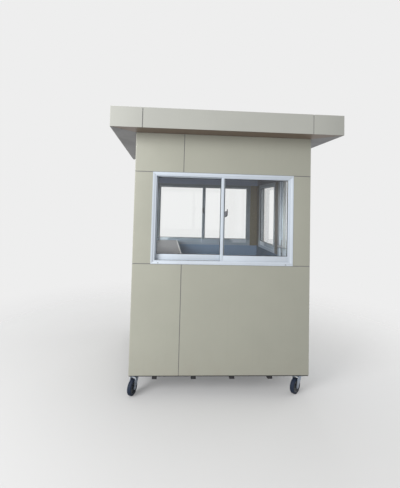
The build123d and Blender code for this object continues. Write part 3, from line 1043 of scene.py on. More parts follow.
@dataclass
class FoldedSheets:
    """Sheets folded round a square plan, unrolled as a run from the front left corner, anticlockwise."""

    half: float
    thickness: float
    fold: float = 0.006
    fold_steps: int = 4
    edge: float = 0.0007

    @property
    def run(self) -> float:
        """Length of one side."""
        return 2 * self.half

    def along(self, side: Side, x: float) -> float:
        """Turns a place along a side, as seen from outside, into a place on the run.

        Args:
            side: The side.
            x: Distance to the right of the side's middle.

        Returns:
            The distance on the run.
        """
        return side.value / 90 * self.run + self.half + x

    def point(self, s: float) -> Pair:
        """Gives the plan place of a point on the run.

        Args:
            s: Distance on the run.

        Returns:
            Its x and y.
        """
        corner = round(s / self.run)
        past = s - corner * self.run
        if abs(past) < self.fold:
            share = (past + self.fold) / (2 * self.fold)
            angle = math.radians(90 * (corner + share) - 180)
            diagonal = (self.half - self.fold) * math.sqrt(2)
            quarter = math.radians(-135 + 90 * corner)
            x, y = diagonal * math.cos(quarter), diagonal * math.sin(quarter)
            return x + self.fold * math.cos(angle), y + self.fold * math.sin(angle)
        index = math.floor(s / self.run)
        x = s - index * self.run - self.half
        turn = math.radians(90 * index)
        sine, cosine = math.sin(turn), math.cos(turn)
        return x * cosine + self.half * sine, x * sine - self.half * cosine

    def sheet(
        self, start: float, end: float, low: float, high: float,
        holes: Sequence[Sequence[float]] = (),
    ) -> Solid:
        """Folds one sheet and gives it its thickness.

        Args:
            start: Where it starts on the run.
            end: Where it ends.
            low: Its lower edge.
            high: Its upper edge.
            holes: Start, end, bottom and top of each cut-out.

        Returns:
            A new bmesh with the closed sheet.
        """
        flat = bmesh.new()
        edges = [(start, low), (end, low), (end, high), (start, high)]
        flat.faces.new([flat.verts.new((s, 0, z)) for s, z in edges])
        for corner in range(math.floor(start / self.run), math.ceil(end / self.run) + 1):
            for step in range(self.fold_steps + 1):
                at = corner * self.run - self.fold + 2 * self.fold * step / self.fold_steps
                if start < at < end:
                    self.score(flat, at, ALONG)
        for hole in holes:
            for at in hole[:2]:
                self.score(flat, at, ALONG)
            for at in hole[2:]:
                self.score(flat, at, UP)
        middles = {face: face.calc_center_median() for face in flat.faces}
        cut = [
            face for face, middle in middles.items()
            if any(a < middle.x < b and c < middle.z < d for a, b, c, d in holes)
        ]
        bmesh.ops.delete(flat, geom=cut, context="FACES")
        for vert in flat.verts:
            vert.co.x, vert.co.y = self.point(vert.co.x)
        bmesh.ops.recalc_face_normals(flat, faces=flat.faces)
        flat.normal_update()
        widest = max(flat.faces, key=lambda face: face.calc_area())
        if widest.normal.dot(widest.calc_center_median()) < 0:
            bmesh.ops.reverse_faces(flat, faces=flat.faces)
        bmesh.ops.solidify(flat, geom=list(flat.faces), thickness=self.thickness)
        bmesh.ops.recalc_face_normals(flat, faces=flat.faces)
        return soften(flat, self.edge, 1, 60)

    def score(self, flat: Solid, at: float, across: Vector) -> None:
        """Cuts the flat sheet along a line.

        Args:
            flat: The sheet.
            at: The line's distance from zero.
            across: The direction of that distance.
        """
        geometry = [*flat.verts, *flat.edges, *flat.faces]
        bmesh.ops.bisect_plane(flat, geom=geometry, plane_co=across * at, plane_no=across)


# The booth's pieces


@dataclass
class Cladding:
    """Panels folded round the corners of the body, with open joints between them."""

    thickness: float = 4 * MM
    joint: float = 6 * MM
    first_upright: float = 407 * MM
    second_upright: float = 700 * MM
    beyond: float = 10.0

    def build(self) -> None:
        """Builds the lower panels, the posts between the windows and the upper panels."""
        low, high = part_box("front_cladding")
        self.sheets = FoldedSheets(half=high.x, thickness=self.thickness)
        sill, head = (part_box("front_window_frame")[i].z for i in (0, 1))
        door = Side.RIGHT.box("door_frame")
        jambs = [self.sheets.along(Side.RIGHT, corner.x) for corner in door]
        half = self.joint / 2
        low_hole = (*jambs, door[0].z, self.beyond)
        high_hole = (*jambs, 0.0, door[1].z)
        self.band("lower_panels", low.z, sill - half, self.spans(), [low_hole])
        self.band("post_panels", sill + half, head - half, self.posts(jambs), ())
        self.band("upper_panels", head + half, high.z, self.spans(), [high_hole])

    def spans(self) -> list[Pair]:
        """Gives the long panels of a band.

        Returns:
            The start and end of each on the run.
        """
        uprights = [self.first_upright, self.second_upright, self.first_upright, self.first_upright]
        joints = [index * self.sheets.run + upright for index, upright in enumerate(uprights)]
        ends = joints[1:] + [joints[0] + 4 * self.sheets.run]
        half = self.joint / 2
        return [(start + half, end - half) for start, end in zip(joints, ends)]

    def posts(self, jambs: Sequence[float]) -> list[Pair]:
        """Starts and ends of the panels between one window or the door and the next.

        Args:
            jambs: The outer edges of the door's frame on the run.

        Returns:
            The pairs, in order round the body.
        """
        edges = list(jambs)
        for side in Side:
            low, high = side.box(f"{side.node_prefix}_window_frame")
            edges += [self.sheets.along(side, low.x), self.sheets.along(side, high.x)]
        edges = sorted(edges)
        edges.append(edges[0] + 4 * self.sheets.run)
        return list(zip(edges[1::2], edges[2::2]))

    def band(
        self, name: str, low: float, high: float, spans: Iterable[Pair], holes: Sequence[Sequence[float]],
    ) -> None:
        """Builds one row of panels as a piece.

        Args:
            name: The piece's name.
            low: Lower edge of the panels.
            high: Upper edge.
            spans: Start and end of each panel on the run.
            holes: Start, end, bottom and top of each cut-out.
        """
        piece = Piece(name, "composite_panel")
        for start, end in spans:
            piece.add(self.sheets.sheet(start, end, low, high, holes))
        piece.done([f"{side.node_prefix}_cladding" for side in Side])


@dataclass
class RoofBox:
    """The fascia with its turned-in flange, the soffit, the hips' flashings and the deck's screws."""

    thickness: float = 4 * MM
    joint: float = 6 * MM
    joint_inset: float = 253.5 * MM
    seal: float = 1.5 * MM
    mitre: float = 1.5 * MM
    flange: float = 25 * MM
    flashing_width: float = 60 * MM
    flashing_height: float = 1.6 * MM
    flat: float = 600 * MM
    deck_edge: float = 3 * MM
    flashing_inset: float = 30 * MM
    flashing_lap: float = 10 * MM
    screw_pitch: float = 260 * MM
    screw_inset: float = 70 * MM

    def build(self) -> None:
        """Builds the fascia and the soffit, and dresses the deck."""
        self.fascia()
        self.soffit()
        self.flashings()
        self.deck_screws()

    def fascia(self) -> None:
        """Eight panels: a straight one on each side, and one folded round each corner."""
        low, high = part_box("fascia")
        sheets = FoldedSheets(half=high.x, thickness=self.thickness, fold=4.4 * MM)
        piece = Piece("fascia_panels", "composite_panel")
        half = self.joint / 2
        insets = (self.joint_inset, sheets.run - self.joint_inset)
        joints = [index * sheets.run + at for index in range(4) for at in insets]
        for start, end in zip(joints, joints[1:] + [joints[0] + 4 * sheets.run]):
            piece.add(sheets.sheet(start + half, end - half, low.z, high.z))
        for strip, turn in self.flanges(high):
            piece.add(soften(strip, 0.6 * MM, 1), turn)
        # Its finish paints the fascia lighter than the panels, for the light on the top band.
        piece.done(["fascia"], FASCIA_PAINTED_LIGHTER)
        self.fascia_seals(high, sheets, joints)

    def flanges(self, high: Vector) -> Iterable[tuple[Solid, Matrix]]:
        """Makes the three strips that turn inward along the top of each side.

        Args:
            high: Highest corner of the fascia's box.

        Yields:
            A strip, drawn for the front, and the turn to its side.
        """
        half = self.joint / 2
        outer = high.x - self.thickness
        ends = [-outer, self.joint_inset - high.x, high.x - self.joint_inset, outer]
        for side in Side:
            for index in range(3):
                start = ends[index] + (half if index else 0)
                end = ends[index + 1] - (half if index < 2 else 0)
                low = (start, -outer, high.z - self.thickness)
                strip = block(low, (end, self.flange - outer, high.z))
                if index != 1:
                    way = index - 1
                    trim(strip, Vector((way * outer, -outer, 0)), Vector((way, 1, 0)))
                yield strip, turned_about("Z", side.value)

    def soffit(self) -> None:
        """Four panels under the overhang, parted by fine mitres at the corners; the front and back ones
        take a browner copy of the finish, which paints the light they get.
        """
        low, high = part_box("soffit")
        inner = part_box("front_cladding")[1].x
        for name, sides, finish in (
            ("soffit_ends", (Side.FRONT, Side.BACK), SOFFIT_ENDS_PAINTED_LIGHT),
            ("soffit_sides", (Side.RIGHT, Side.LEFT), None),
        ):
            piece = Piece(name, "soffit_panel")
            for side in sides:
                panel = block((-high.x, -high.y, low.z), (high.x, -inner, high.z))
                for way in (-1, 1):
                    edge = Vector((way * (high.x - self.mitre), -high.y, 0))
                    trim(panel, edge, Vector((way, 1, 0)))
                piece.add(soften(panel, 0.5 * MM, 1), turned_about("Z", side.value))
            piece.done(["soffit"], finish)

    def fascia_seals(self, high: Vector, sheets: FoldedSheets, joints: Sequence[float]) -> None:
        """Dark seals at the bottom of the fascia's joints.

        Args:
            high: Highest corner of the fascia's box.
            sheets: The fascia's sheets.
            joints: Middles of the joints on the run.
        """
        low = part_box("fascia")[0]
        piece = Piece("fascia_seals", "joint_seal")
        seal = FoldedSheets(half=high.x - self.thickness + self.seal, thickness=self.seal)
        reach = self.joint / 2 - 0.1 * MM
        bottom, top = low.z + 1 * MM, high.z - self.thickness
        for at in joints:
            index = math.floor(at / sheets.run)
            middle = index * seal.run + seal.half + (at - index * sheets.run - sheets.half)
            piece.add(seal.sheet(middle - reach, middle + reach, bottom, top))
        piece.done()

    def slope(self) -> tuple[Vector, float, float]:
        """Gives the deck's slope.

        Returns:
            Highest corner of the deck's box, the run of its slope, and the slope's rise.
        """
        low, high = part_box("roof_deck")
        return high, high.x - self.flat / 2, high.z - low.z - self.deck_edge

    def flashings(self) -> None:
        """Folded strips over the four hips of the deck, and a cap over its flat middle."""
        high, run, rise = self.slope()
        piece = Piece("hip_flashings", "roof_sheet")
        outer = high.x - self.flashing_inset
        inner = self.flat / 2 - self.flashing_lap
        start = Vector((outer, outer, high.z - rise + rise * self.flashing_inset / run))
        along = Vector((inner, inner, high.z)) - start
        across = Vector((1, -1, 0)).normalized()
        up = across.cross(along).normalized()
        up = up if up.z > 0 else -up
        w, t = self.flashing_width / 2, self.flashing_height
        drop = w * rise / run * math.sqrt(0.5)
        sunk = 0.5 * MM
        outline = [(-w, -drop - sunk), (0, -sunk), (w, -drop - sunk), (w, t - drop), (0, t), (-w, t - drop)]
        for side in Side:
            strip = prism(outline, start, across, up, along)
            piece.add(soften(strip, 0.4 * MM, 1), turned_about("Z", side.value))
        width = self.flat + self.flashing_inset
        cap = prism(
            rounded_box(width, width, 10 * MM), UP * (high.z - 1 * MM), ALONG, INWARD, UP * (1 * MM + t),
        )
        piece.add(soften(cap, 0.5 * MM, 1))
        piece.done()

    def deck_screws(self) -> None:
        """Roofing screws with washers, in a row near each edge of the deck."""
        high, run, rise = self.slope()
        piece = Piece("roof_screws", "satin_hardware")
        reach = high.x - self.screw_inset
        level = high.z - rise + rise * self.screw_inset / run - 0.3 * MM
        count = round(2 * reach / self.screw_pitch)
        for side in Side:
            turn = turned_about("Z", side.value)
            for index in range(1, count):
                place = turn @ Matrix.Translation((2 * reach * index / count - reach, -reach, level))
                piece.add(turned_pin(7 * MM, 0, 1.2 * MM, 0.4 * MM, 20), place)
                piece.add(turned_pin(4.2 * MM, 1 * MM, 5 * MM, 0.6 * MM, 6), place)
        piece.done()


@dataclass
class TrackWindow:
    """A window with two tracks: two sliding sashes, or one fixed sash in the inner track."""

    side: Side
    slides: bool = True
    face: float = 32 * MM
    face_step: Pair = (19 * MM, 20.5 * MM)
    step_proud: float = 1.4 * MM
    lip: float = 18 * MM
    proud: float = 3 * MM
    fin: float = 4 * MM
    track: float = 24 * MM
    wall: float = 58 * MM
    sash: float = 20 * MM
    stile: float = 26 * MM
    head_rail: float = 21 * MM
    foot_rail: float = 61 * MM
    meeting: float = 36 * MM
    outer_meeting: float = 25 * MM
    bead: float = 4 * MM
    pane: float = 5 * MM
    gap: float = 2 * MM
    pile: Pair = (25 * MM, 30.5 * MM)
    weep: float = 62 * MM
    weep_level: float = 9 * MM

    def build(self) -> None:
        """Builds the frame, the sashes, their gaskets and the latch."""
        name = self.side.node_prefix
        self.low, self.high = self.side.box(f"{name}_window_frame")
        self.middle = (self.low.x + self.high.x) / 2
        place = self.side.place()
        self.frame(name, place)
        self.sashes(name, place)
        if self.slides:
            latch = SashLatch(self.middle + self.meeting / 2, self.inner_depth() + self.sash)
            latch.build(name, place, self.side is Side.FRONT)

    def outer_depth(self) -> float:
        """Depth of the outer sash's outside face."""
        return self.fin - self.proud + (self.track - self.sash) / 2

    def inner_depth(self) -> float:
        """Depth of the inner sash's outside face."""
        return self.wall + self.proud - self.fin - self.track + (self.track - self.sash) / 2

    def frame(self, name: str, place: Matrix) -> None:
        """Builds the frame with its stepped face, two tracks and pile strips, and flat dark plates that
        paint the shade in its weep slots.

        Args:
            name: The side's name.
            place: Turns the side's axes to the booth's.
        """
        back = self.wall + self.proud
        near = self.fin - self.proud
        far = back - self.fin
        step = self.face_step
        profile = [
            (0, -self.proud), (step[0], -self.proud),
            (step[1], -self.step_proud), (self.face, -self.step_proud),
            (self.face, near), (self.lip, near),
            (self.lip, near + self.track), (self.face, near + self.track),
            (self.face, far - self.track), (self.lip, far - self.track), (self.lip, far), (self.face, far),
            (self.face, back), (0, back),
        ]
        low = (self.low.x, self.low.z)
        high = (self.high.x, self.high.z)
        piece = Piece(f"{name}_window_surround", "white_aluminium")
        piece.add(ring(low, high, profile, 0.6 * MM), place)
        piece.done([f"{name}_window_frame"])

        pile = Piece(f"{name}_window_pile_and_weep_shade", "dark_hardware")
        insides = (self.outer_depth() + self.sash, self.inner_depth() + self.sash)
        for depth in (near, insides[0], far - self.track, insides[1]):
            start, end = self.pile
            strip = [(start, depth), (end, depth), (end, depth + self.gap), (start, depth + self.gap)]
            pile.add(ring(low, high, strip, 0.2 * MM), place)
        # The weep slots are not cut: thin dark plates on the face paint the shade inside them.
        for x in (self.low.x + self.weep, self.high.x - self.weep):
            spot = Vector((x, -self.proud - 0.1 * MM, self.low.z + self.weep_level))
            outline = rounded_box(14 * MM, 4 * MM, 1.9 * MM)
            pile.add(prism(outline, spot, ALONG, UP, INWARD * 0.4 * MM), place)
        pile.done(finish=GASKET)

    def sashes(self, name: str, place: Matrix) -> None:
        """Builds the sashes: stiles, rails between them, mitred beads and gaskets.

        Args:
            name: The side's name.
            place: Turns the side's axes to the booth's.
        """
        foot = self.low.z + self.lip + 0.3 * MM
        head = self.high.z - self.lip - self.gap
        lap = self.meeting / 2
        channel = (self.low.x + self.lip + self.gap, self.high.x - self.lip - self.gap)
        metal = Piece(f"{name}_sash_bars", "white_aluminium")
        rubber = Piece(f"{name}_glazing_gaskets", "dark_hardware")
        sashes = [
            (self.inner_depth(), (channel[0], self.middle + lap), (self.stile, self.meeting)),
            (self.outer_depth(), (self.middle - lap, channel[1]), (self.outer_meeting, self.stile)),
        ]
        if not self.slides:
            sashes = [(self.inner_depth(), channel, (self.stile, self.stile))]
        for depth, along, stiles in sashes:
            left, right = along[0] + stiles[0], along[1] - stiles[1]
            light = ((left, foot + self.foot_rail), (right, head - self.head_rail))
            corners = ((along[0], foot), (along[1], head))
            glazed = GlazedLeaf(depth, self.sash, *corners, [light], self.bead, self.bead)
            for solid in glazed.bars():
                metal.add(solid, place)
            for solid in glazed.gaskets(light, self.pane):
                rubber.add(solid, place)
        metal.done([f"{name}_window_sashes"])
        rubber.done(finish=GASKET)


@dataclass
class GlazedLeaf:
    """A leaf of stiles and rails with beads round each light, in a side's axes."""

    depth: float
    thickness: float
    low: Pair
    high: Pair
    lights: list[tuple[Pair, Pair]]
    bead: float
    bead_depth: float
    edge: float = 1.2 * MM
    gap: float = 0.15 * MM

    def bars(self) -> Iterable[Solid]:
        """Makes the stiles, the rails between them and a mitred bead round each light.

        Yields:
            The closed solids.
        """
        front = self.depth
        back = self.depth + self.thickness
        left = self.lights[0][0][0] - self.bead
        right = self.lights[0][1][0] + self.bead
        yield self.eased((self.low[0], self.low[1]), (left, self.high[1]))
        yield self.eased((right, self.low[1]), (self.high[0], self.high[1]))
        levels = [self.low[1]]
        for low, high in self.lights:
            levels += [low[1] - self.bead, high[1] + self.bead]
        levels.append(self.high[1])
        for bottom, top in zip(levels[::2], levels[1::2]):
            yield self.eased((left + self.gap, bottom), (right - self.gap, top))
        for low, high in self.lights:
            outer = [(low[0] - self.bead, low[1] - self.bead), (high[0] + self.bead, high[1] + self.bead)]
            start = front + self.bead_depth
            end = back - 1 * MM
            section = [(0, start), (self.bead, start + 0.6 * MM), (self.bead, end), (0, end)]
            yield ring(outer[0], outer[1], section, 0.4 * MM)

    def eased(self, low: Pair, high: Pair) -> Solid:
        """Makes one bar as a block with soft edges.

        Args:
            low: Its lower left corner.
            high: Its upper right corner.

        Returns:
            The bar.
        """
        solid = block((low[0], self.depth, low[1]), (high[0], self.depth + self.thickness, high[1]))
        return soften(solid, self.edge, 2)

    def gaskets(
        self, light: tuple[Pair, Pair], pane: float,
    ) -> Iterable[Solid]:
        """Makes the wedge gaskets on both faces of a pane.

        Args:
            light: Lower left and upper right corners of the clear opening.
            pane: Thickness of the pane, which sits in the middle of the leaf.

        Yields:
            One ring for each face.
        """
        near = self.depth + (self.thickness - pane) / 2
        far = near + pane
        top = self.depth + self.bead_depth + 0.2 * MM
        end = self.depth + self.thickness - 1.5 * MM
        root, lip, wide = -1 * MM, 0.8 * MM, 3.2 * MM
        outside = [(root, top), (lip, top), (wide, near - lip), (wide, near), (root, near)]
        inside = [(root, far), (wide, far), (wide, far + lip), (lip, end), (root, end)]
        for section in (outside, inside):
            yield ring(light[0], light[1], section, 0.2 * MM)


@dataclass
class SashLatch:
    """A crescent latch on the room side of a meeting stile, its hook past the stile's edge."""

    stile_edge: float
    face: float
    base_width: float = 20 * MM
    base_height: float = 70 * MM
    thickness: float = 5 * MM
    reach: float = 30 * MM
    rim: float = 8 * MM
    neck: float = 9 * MM
    horn_tip: float = 4 * MM
    inner_horn: float = 14 * MM
    inlay_drop: float = 16 * MM
    inlay_lap: float = 0.5 * MM
    screw_level: float = 26.6 * MM

    def build(self, name: str, place: Matrix, open_hook: bool) -> None:
        """Builds the base with its screws, the crescent hook with its inlay, and the pivot.

        Args:
            name: The side's name.
            place: Turns the side's axes to the booth's.
            open_hook: Whether the hook stands past the stile, or is turned back along the base.
        """
        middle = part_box("sash_latches")[0].z + self.base_height / 2
        pivot = Vector((self.stile_edge - self.base_width / 2, self.face, middle))
        seat = pivot + INWARD * self.thickness
        base = rounded_box(self.base_width, self.base_height, 6 * MM)
        shut = rounded_box(self.base_width - 4 * MM, self.base_height - 6 * MM, 7 * MM)
        piece = Piece(f"{name}_sash_latch", "dark_hardware")
        hook = self.hook() if open_hook else shut
        for outline, foot, edge in ((base, pivot, 1.2 * MM), (hook, seat, 1 * MM)):
            plate = prism(outline, foot, ALONG, UP, INWARD * self.thickness)
            piece.add(soften(plate, edge, 2, 60), place)
        turn = turned_about("X", -90)
        piece.add(turned_pin(4.5 * MM, 0, 5.6 * MM, 0.8 * MM), place @ Matrix.Translation(seat) @ turn)
        piece.done(["sash_latches"])
        if open_hook:
            self.inlay(name, place, seat)
        screws = Piece(f"{name}_latch_screws", "satin_hardware")
        for level in (-self.screw_level, self.screw_level):
            spot = seat + UP * level - ALONG * 4 * MM
            screws.add(screw_head(3 * MM, 1.2 * MM), place @ Matrix.Translation(spot) @ turn)
        screws.done()

    def bowl(self) -> tuple[Pair, float, float, float]:
        """Sizes of the crescent's round foot.

        Returns:
            Its centre and radius, and the right and top of the crescent, all about the pivot.
        """
        half = self.base_height / 2
        right = self.base_width / 2 + self.reach
        radius = (right + self.neck) / 2
        return (right - radius, radius - half), radius, right, half

    def hook(self) -> list[Pair]:
        """Outlines the crescent: a round foot, a tall outer horn and a short inner one.

        Returns:
            The outline about the pivot.
        """
        centre, radius, right, top = self.bowl()
        tip = self.horn_tip
        horn = [(right, top - tip), (right - tip, top), (right - self.rim, top)]
        return [
            *arc(centre, radius, 180, 360, 18), *horn, (right - self.rim, centre[1]),
            *arc(centre, radius - self.rim, 350, 190, 14),
            (self.rim - self.neck, self.inner_horn), (-self.neck, self.inner_horn),
        ]

    def inlay(self, name: str, place: Matrix, seat: Vector) -> None:
        """Fills the crescent with a satin plate, thinner than its rim. The rim left dark round the plate
        paints the shadow round the crescent's edge.

        Args:
            name: The side's name.
            place: Turns the side's axes to the booth's.
            seat: The pivot's place on the base.
        """
        centre, radius, right, top = self.bowl()
        lap = self.inlay_lap
        outline = [
            *arc(centre, radius - self.rim + lap, 180, 360, 16),
            (right - self.rim + lap, top - self.inlay_drop),
            (self.rim - self.neck - lap, self.inner_horn * 0.75),
        ]
        # Painted shadow: the dark rim that stays round this plate stands for the shadow at the crescent's
        # edge.
        plate = prism(outline, seat + INWARD * 1.5 * MM, ALONG, UP, INWARD * 2 * MM)
        piece = Piece(f"{name}_latch_inlay", "satin_hardware")
        piece.add(soften(plate, 0.4 * MM, 1, 60), place)
        piece.done(finish=LATCH_INLAY)


@dataclass
class Door:
    """The door in the right side: frame, leaf, gaskets, hinges and lever handles."""

    face: float = 36 * MM
    face_step: Pair = (22 * MM, 23.5 * MM)
    step_depth: float = 1.6 * MM
    stop_depth: float = 42 * MM
    stop: float = 15 * MM
    latch_stop: float = 18 * MM
    threshold: float = 25 * MM
    stile: float = 46 * MM
    head_rail: float = 60 * MM
    foot_rail: float = 110 * MM
    middle_rail: float = 80 * MM
    glass_bottom: float = 1150 * MM
    bead: float = 4 * MM
    pane: float = 5 * MM
    panel: float = 8 * MM
    hinge_length: float = 90 * MM
    hinge_radius: float = 7 * MM
    hinge_plate: float = 2.5 * MM
    hinge_width: float = 30 * MM
    handle_level: float = 1165 * MM
    handle_set_back: float = 30.5 * MM
    handle_length: float = 112 * MM
    handle_neck: float = 40 * MM
    handle_radius: float = 8 * MM
    handle_plate: tuple[float, float, float] = (24 * MM, 190 * MM, 6 * MM)
    plate_drop: float = 29 * MM
    key_drop: float = 70 * MM
    lever_thickness: float = 12 * MM
    grip_ribs: int = 5
    grip_pitch: float = 9 * MM

    def build(self) -> None:
        """Builds every part of the door."""
        self.place = Side.RIGHT.place()
        self.frame_low, self.frame_high = Side.RIGHT.box("door_frame")
        self.leaf_low, self.leaf_high = Side.RIGHT.box("door_leaf")
        self.frame()
        self.leaf()
        self.hinges()
        self.handles()

    def frame(self) -> None:
        """Builds the jambs, the head and the threshold, with the seal on their stop."""
        low, high = self.frame_low, self.frame_high
        piece = Piece("door_surround", "white_aluminium")
        near, far = low.y, high.y
        step, sunk = self.face_step, near + self.step_depth
        outside = [(0, near), (step[0], near), (step[1], sunk), (self.face, sunk)]
        outside.append((self.face, self.stop_depth))
        wide, narrow = (
            [*outside, (self.face + stop, self.stop_depth), (self.face + stop, far), (0, far)]
            for stop in (self.latch_stop, self.stop)
        )
        left, right = low.x, high.x
        bottom, top = low.z, high.z
        piece.add(bar((right, bottom), (right, top), wide, (False, True)), self.place)
        piece.add(bar((right, top), (left, top), narrow, (True, True)), self.place)
        piece.add(bar((left, top), (left, bottom), narrow, (True, False)), self.place)
        rise = self.threshold
        sill = [(0, near), (20 * MM, near), (rise, near + 6 * MM), (rise, far), (0, far)]
        inside = (left + self.face, right - self.face)
        piece.add(bar((inside[0], bottom), (inside[1], bottom), sill, (False, False)), self.place)
        piece.done(["door_frame"])

        seal = Piece("door_seal", "joint_seal")
        heights = ((2, 1), (2, -2.4), (5, -3.6), (8.5, -2.4), (8.5, 1))
        strip = [(self.face + across * MM, self.stop_depth + deep * MM) for across, deep in heights]
        foot = bottom + rise
        for start, end, mitres in (
            ((right, foot), (right, top), (False, True)),
            ((right, top), (left, top), (True, True)),
            ((left, top), (left, foot), (True, False)),
        ):
            seal.add(bar(start, end, strip, mitres, edge=0.6 * MM), self.place)
        seal.done(finish=GASKET)

        grip = Piece("threshold_grip", "satin_hardware")
        for row in range(self.grip_ribs):
            y = near + 14 * MM + row * self.grip_pitch
            rib = block(
                (inside[0] + 4 * MM, y, foot - 0.5 * MM), (inside[1] - 4 * MM, y + 3 * MM, foot + 0.9 * MM),
            )
            grip.add(soften(rib, 0.4 * MM, 1), self.place)
        grip.done()

    def leaf(self) -> None:
        """Builds the leaf's bars, beads and gaskets."""
        low, high = self.leaf_low, self.leaf_high
        light = (low.x + self.stile, high.x - self.stile)
        panel = ((light[0], low.z + self.foot_rail), (light[1], self.glass_bottom - self.middle_rail))
        glass = ((light[0], self.glass_bottom), (light[1], high.z - self.head_rail))
        corners = ((low.x, low.z), (high.x, high.z))
        beads = (self.bead, 2 * self.bead)
        glazed = GlazedLeaf(low.y, high.y - low.y, *corners, [panel, glass], *beads, edge=1.6 * MM)
        metal = Piece("door_leaf_bars", "white_aluminium", "door")
        for solid in glazed.bars():
            metal.add(solid, self.place)
        # The leaf's coat is painted lighter than the frames' coat.
        metal.done(["door_leaf"], DOOR_COAT_PAINTED_LIGHTER)
        rubber = Piece("door_gaskets", "joint_seal", "door")
        for opening, thickness in ((panel, self.panel), (glass, self.pane)):
            for solid in glazed.gaskets(opening, thickness):
                rubber.add(solid, self.place)
        rubber.done(finish=PALE_SEAL)

    def hinges(self) -> None:
        """Builds three hinges: plates with screws, knuckles and pins."""
        axis = Side.RIGHT.box("door_hinge_frame_leaves")
        along = axis[0].x + self.hinge_width
        first = axis[0].z + self.hinge_length / 2
        last = axis[1].z - self.hinge_length / 2
        fixed = Piece("hinge_frame_halves", "satin_hardware")
        moving = Piece("hinge_door_halves", "satin_hardware", "door")
        third, clear = self.hinge_length / 3, 0.5 * MM
        for level in (first, (first + last) / 2, last):
            foot = level - self.hinge_length / 2
            ends = [foot + third * index for index in range(4)]
            self.hinge_half(fixed, -1, along, level, [(ends[0], ends[1]), (ends[2], ends[3])])
            self.hinge_half(moving, 1, along, level, [(ends[1] + clear, ends[2] - clear)])
        fixed.done(["door_hinge_frame_leaves"])
        moving.done(["door_hinge_door_leaves"])

    def hinge_half(self, piece: Piece, way: int, along: float, level: float, spans: Iterable[Pair]) -> None:
        """Adds one half of a hinge.

        Args:
            piece: Takes the half.
            way: -1 for the half on the frame, 1 for the half on the leaf.
            along: The hinge axis, along the wall.
            level: The hinge's middle.
            spans: Bottom and top of each knuckle.
        """
        face = self.leaf_low.y - self.hinge_plate
        near, far = sorted((way * (self.hinge_radius + 1 * MM), way * self.hinge_width))
        middle = along + (near + far) / 2
        outline = rounded_box(far - near, self.hinge_length, 3 * MM)
        plate = prism(outline, Vector((middle, face, level)), ALONG, UP, INWARD * self.hinge_plate)
        piece.add(soften(plate, 0.6 * MM, 1, 60), self.place)
        centre = self.place @ Matrix.Translation((along, self.leaf_low.y - self.hinge_radius, 0))
        tab = sorted((along, along + way * (self.hinge_radius + 2 * MM)))
        for bottom, top in spans:
            piece.add(turned_pin(self.hinge_radius, bottom, top, 0.6 * MM, 32), centre)
            arm = block((tab[0], face, bottom + 0.3 * MM), (tab[1], self.leaf_low.y, top - 0.3 * MM))
            piece.add(soften(arm, 0.3 * MM, 1), self.place)
        for at in (-0.36, 0.0, 0.36):
            spot = Matrix.Translation((middle, face, level + at * self.hinge_length))
            piece.add(screw_head(3.6 * MM, 1.1 * MM), self.place @ spot @ turned_about("X", 90))

    def handles(self) -> None:
        """Builds a lever handle with its key cylinder on each face."""
        metal = Piece("lever_handles", "satin_hardware", "door")
        dark = Piece("key_cylinders", "dark_hardware", "door")
        for face, way in ((self.leaf_low.y, -1), (self.leaf_high.y, 1)):
            along = self.leaf_high.x - self.handle_set_back
            origin = Vector((along, face, self.handle_level))
            self.lever(metal, origin, way)
            self.cylinder(dark, origin + INWARD * way * 5 * MM - UP * self.key_drop, INWARD * way)
        metal.done(["door_handles"])
        dark.done()

    def lever(self, piece: Piece, origin: Vector, way: int) -> None:
        """Adds a plate, a collar, a neck, a lever and two screws.

        Args:
            piece: Takes them.
            origin: The spindle's place on the leaf's face.
            way: 1 where the face looks into the room, -1 where it looks out.
        """
        out = INWARD * way
        width, height, thick = self.handle_plate
        plate = prism(
            rounded_box(width, height, 7 * MM), origin - UP * self.plate_drop, ALONG, UP, out * thick,
        )
        piece.add(soften(plate, 1.5 * MM, 2, 60), self.place)
        turn = turned_about("X", -90 * way)
        spindle = self.place @ Matrix.Translation(origin) @ turn
        collar = [(0, 5), (11, 5), (11, 8), (9.5, 9.5), (8, 10), (0, 10)]
        piece.add(turned([(radius * MM, level * MM) for radius, level in collar], 32), spindle)
        piece.add(turned_pin(7.5 * MM, 6 * MM, self.handle_neck, 0.8 * MM, 28), spindle)
        radius = self.handle_radius
        outline = [
            *arc((0, 0), radius, -60, 90, 10), (-40 * MM, 7.5 * MM), (-90 * MM, 7.8 * MM),
            *arc((radius - self.handle_length, 0), radius, 90, 270, 12),
            (-90 * MM, -7.8 * MM), (-40 * MM, -6.6 * MM),
        ]
        thick_lever = out * self.lever_thickness
        start = origin + out * self.handle_neck - thick_lever / 2
        piece.add(soften(prism(outline, start, ALONG, UP, thick_lever), 3 * MM, 3, 50), self.place)
        for level in (-86 * MM, 86 * MM):
            spot = origin + out * thick + UP * (level - self.plate_drop)
            piece.add(screw_head(3.2 * MM, 1 * MM), self.place @ Matrix.Translation(spot) @ turn)

    def cylinder(self, piece: Piece, key: Vector, out: Vector) -> None:
        """Adds a key cylinder with its slot.

        Args:
            piece: Takes them.
            key: The cylinder's place on the handle's plate.
            out: Direction away from the leaf.
        """
        euro = [*arc((0, 0), 8.5 * MM, -50, 230, 20), *arc((0, -20 * MM), 5 * MM, 180, 360, 8)]
        piece.add(soften(prism(euro, key, ALONG, UP, out * 2.4 * MM), 0.5 * MM, 1, 60), self.place)
        slot = rounded_box(1.6 * MM, 8 * MM, 0.7 * MM)
        cut = prism(slot, key + out * 2.4 * MM, ALONG, UP, out * 0.3 * MM)
        piece.add(soften(cut, 0.1 * MM, 1), self.place)


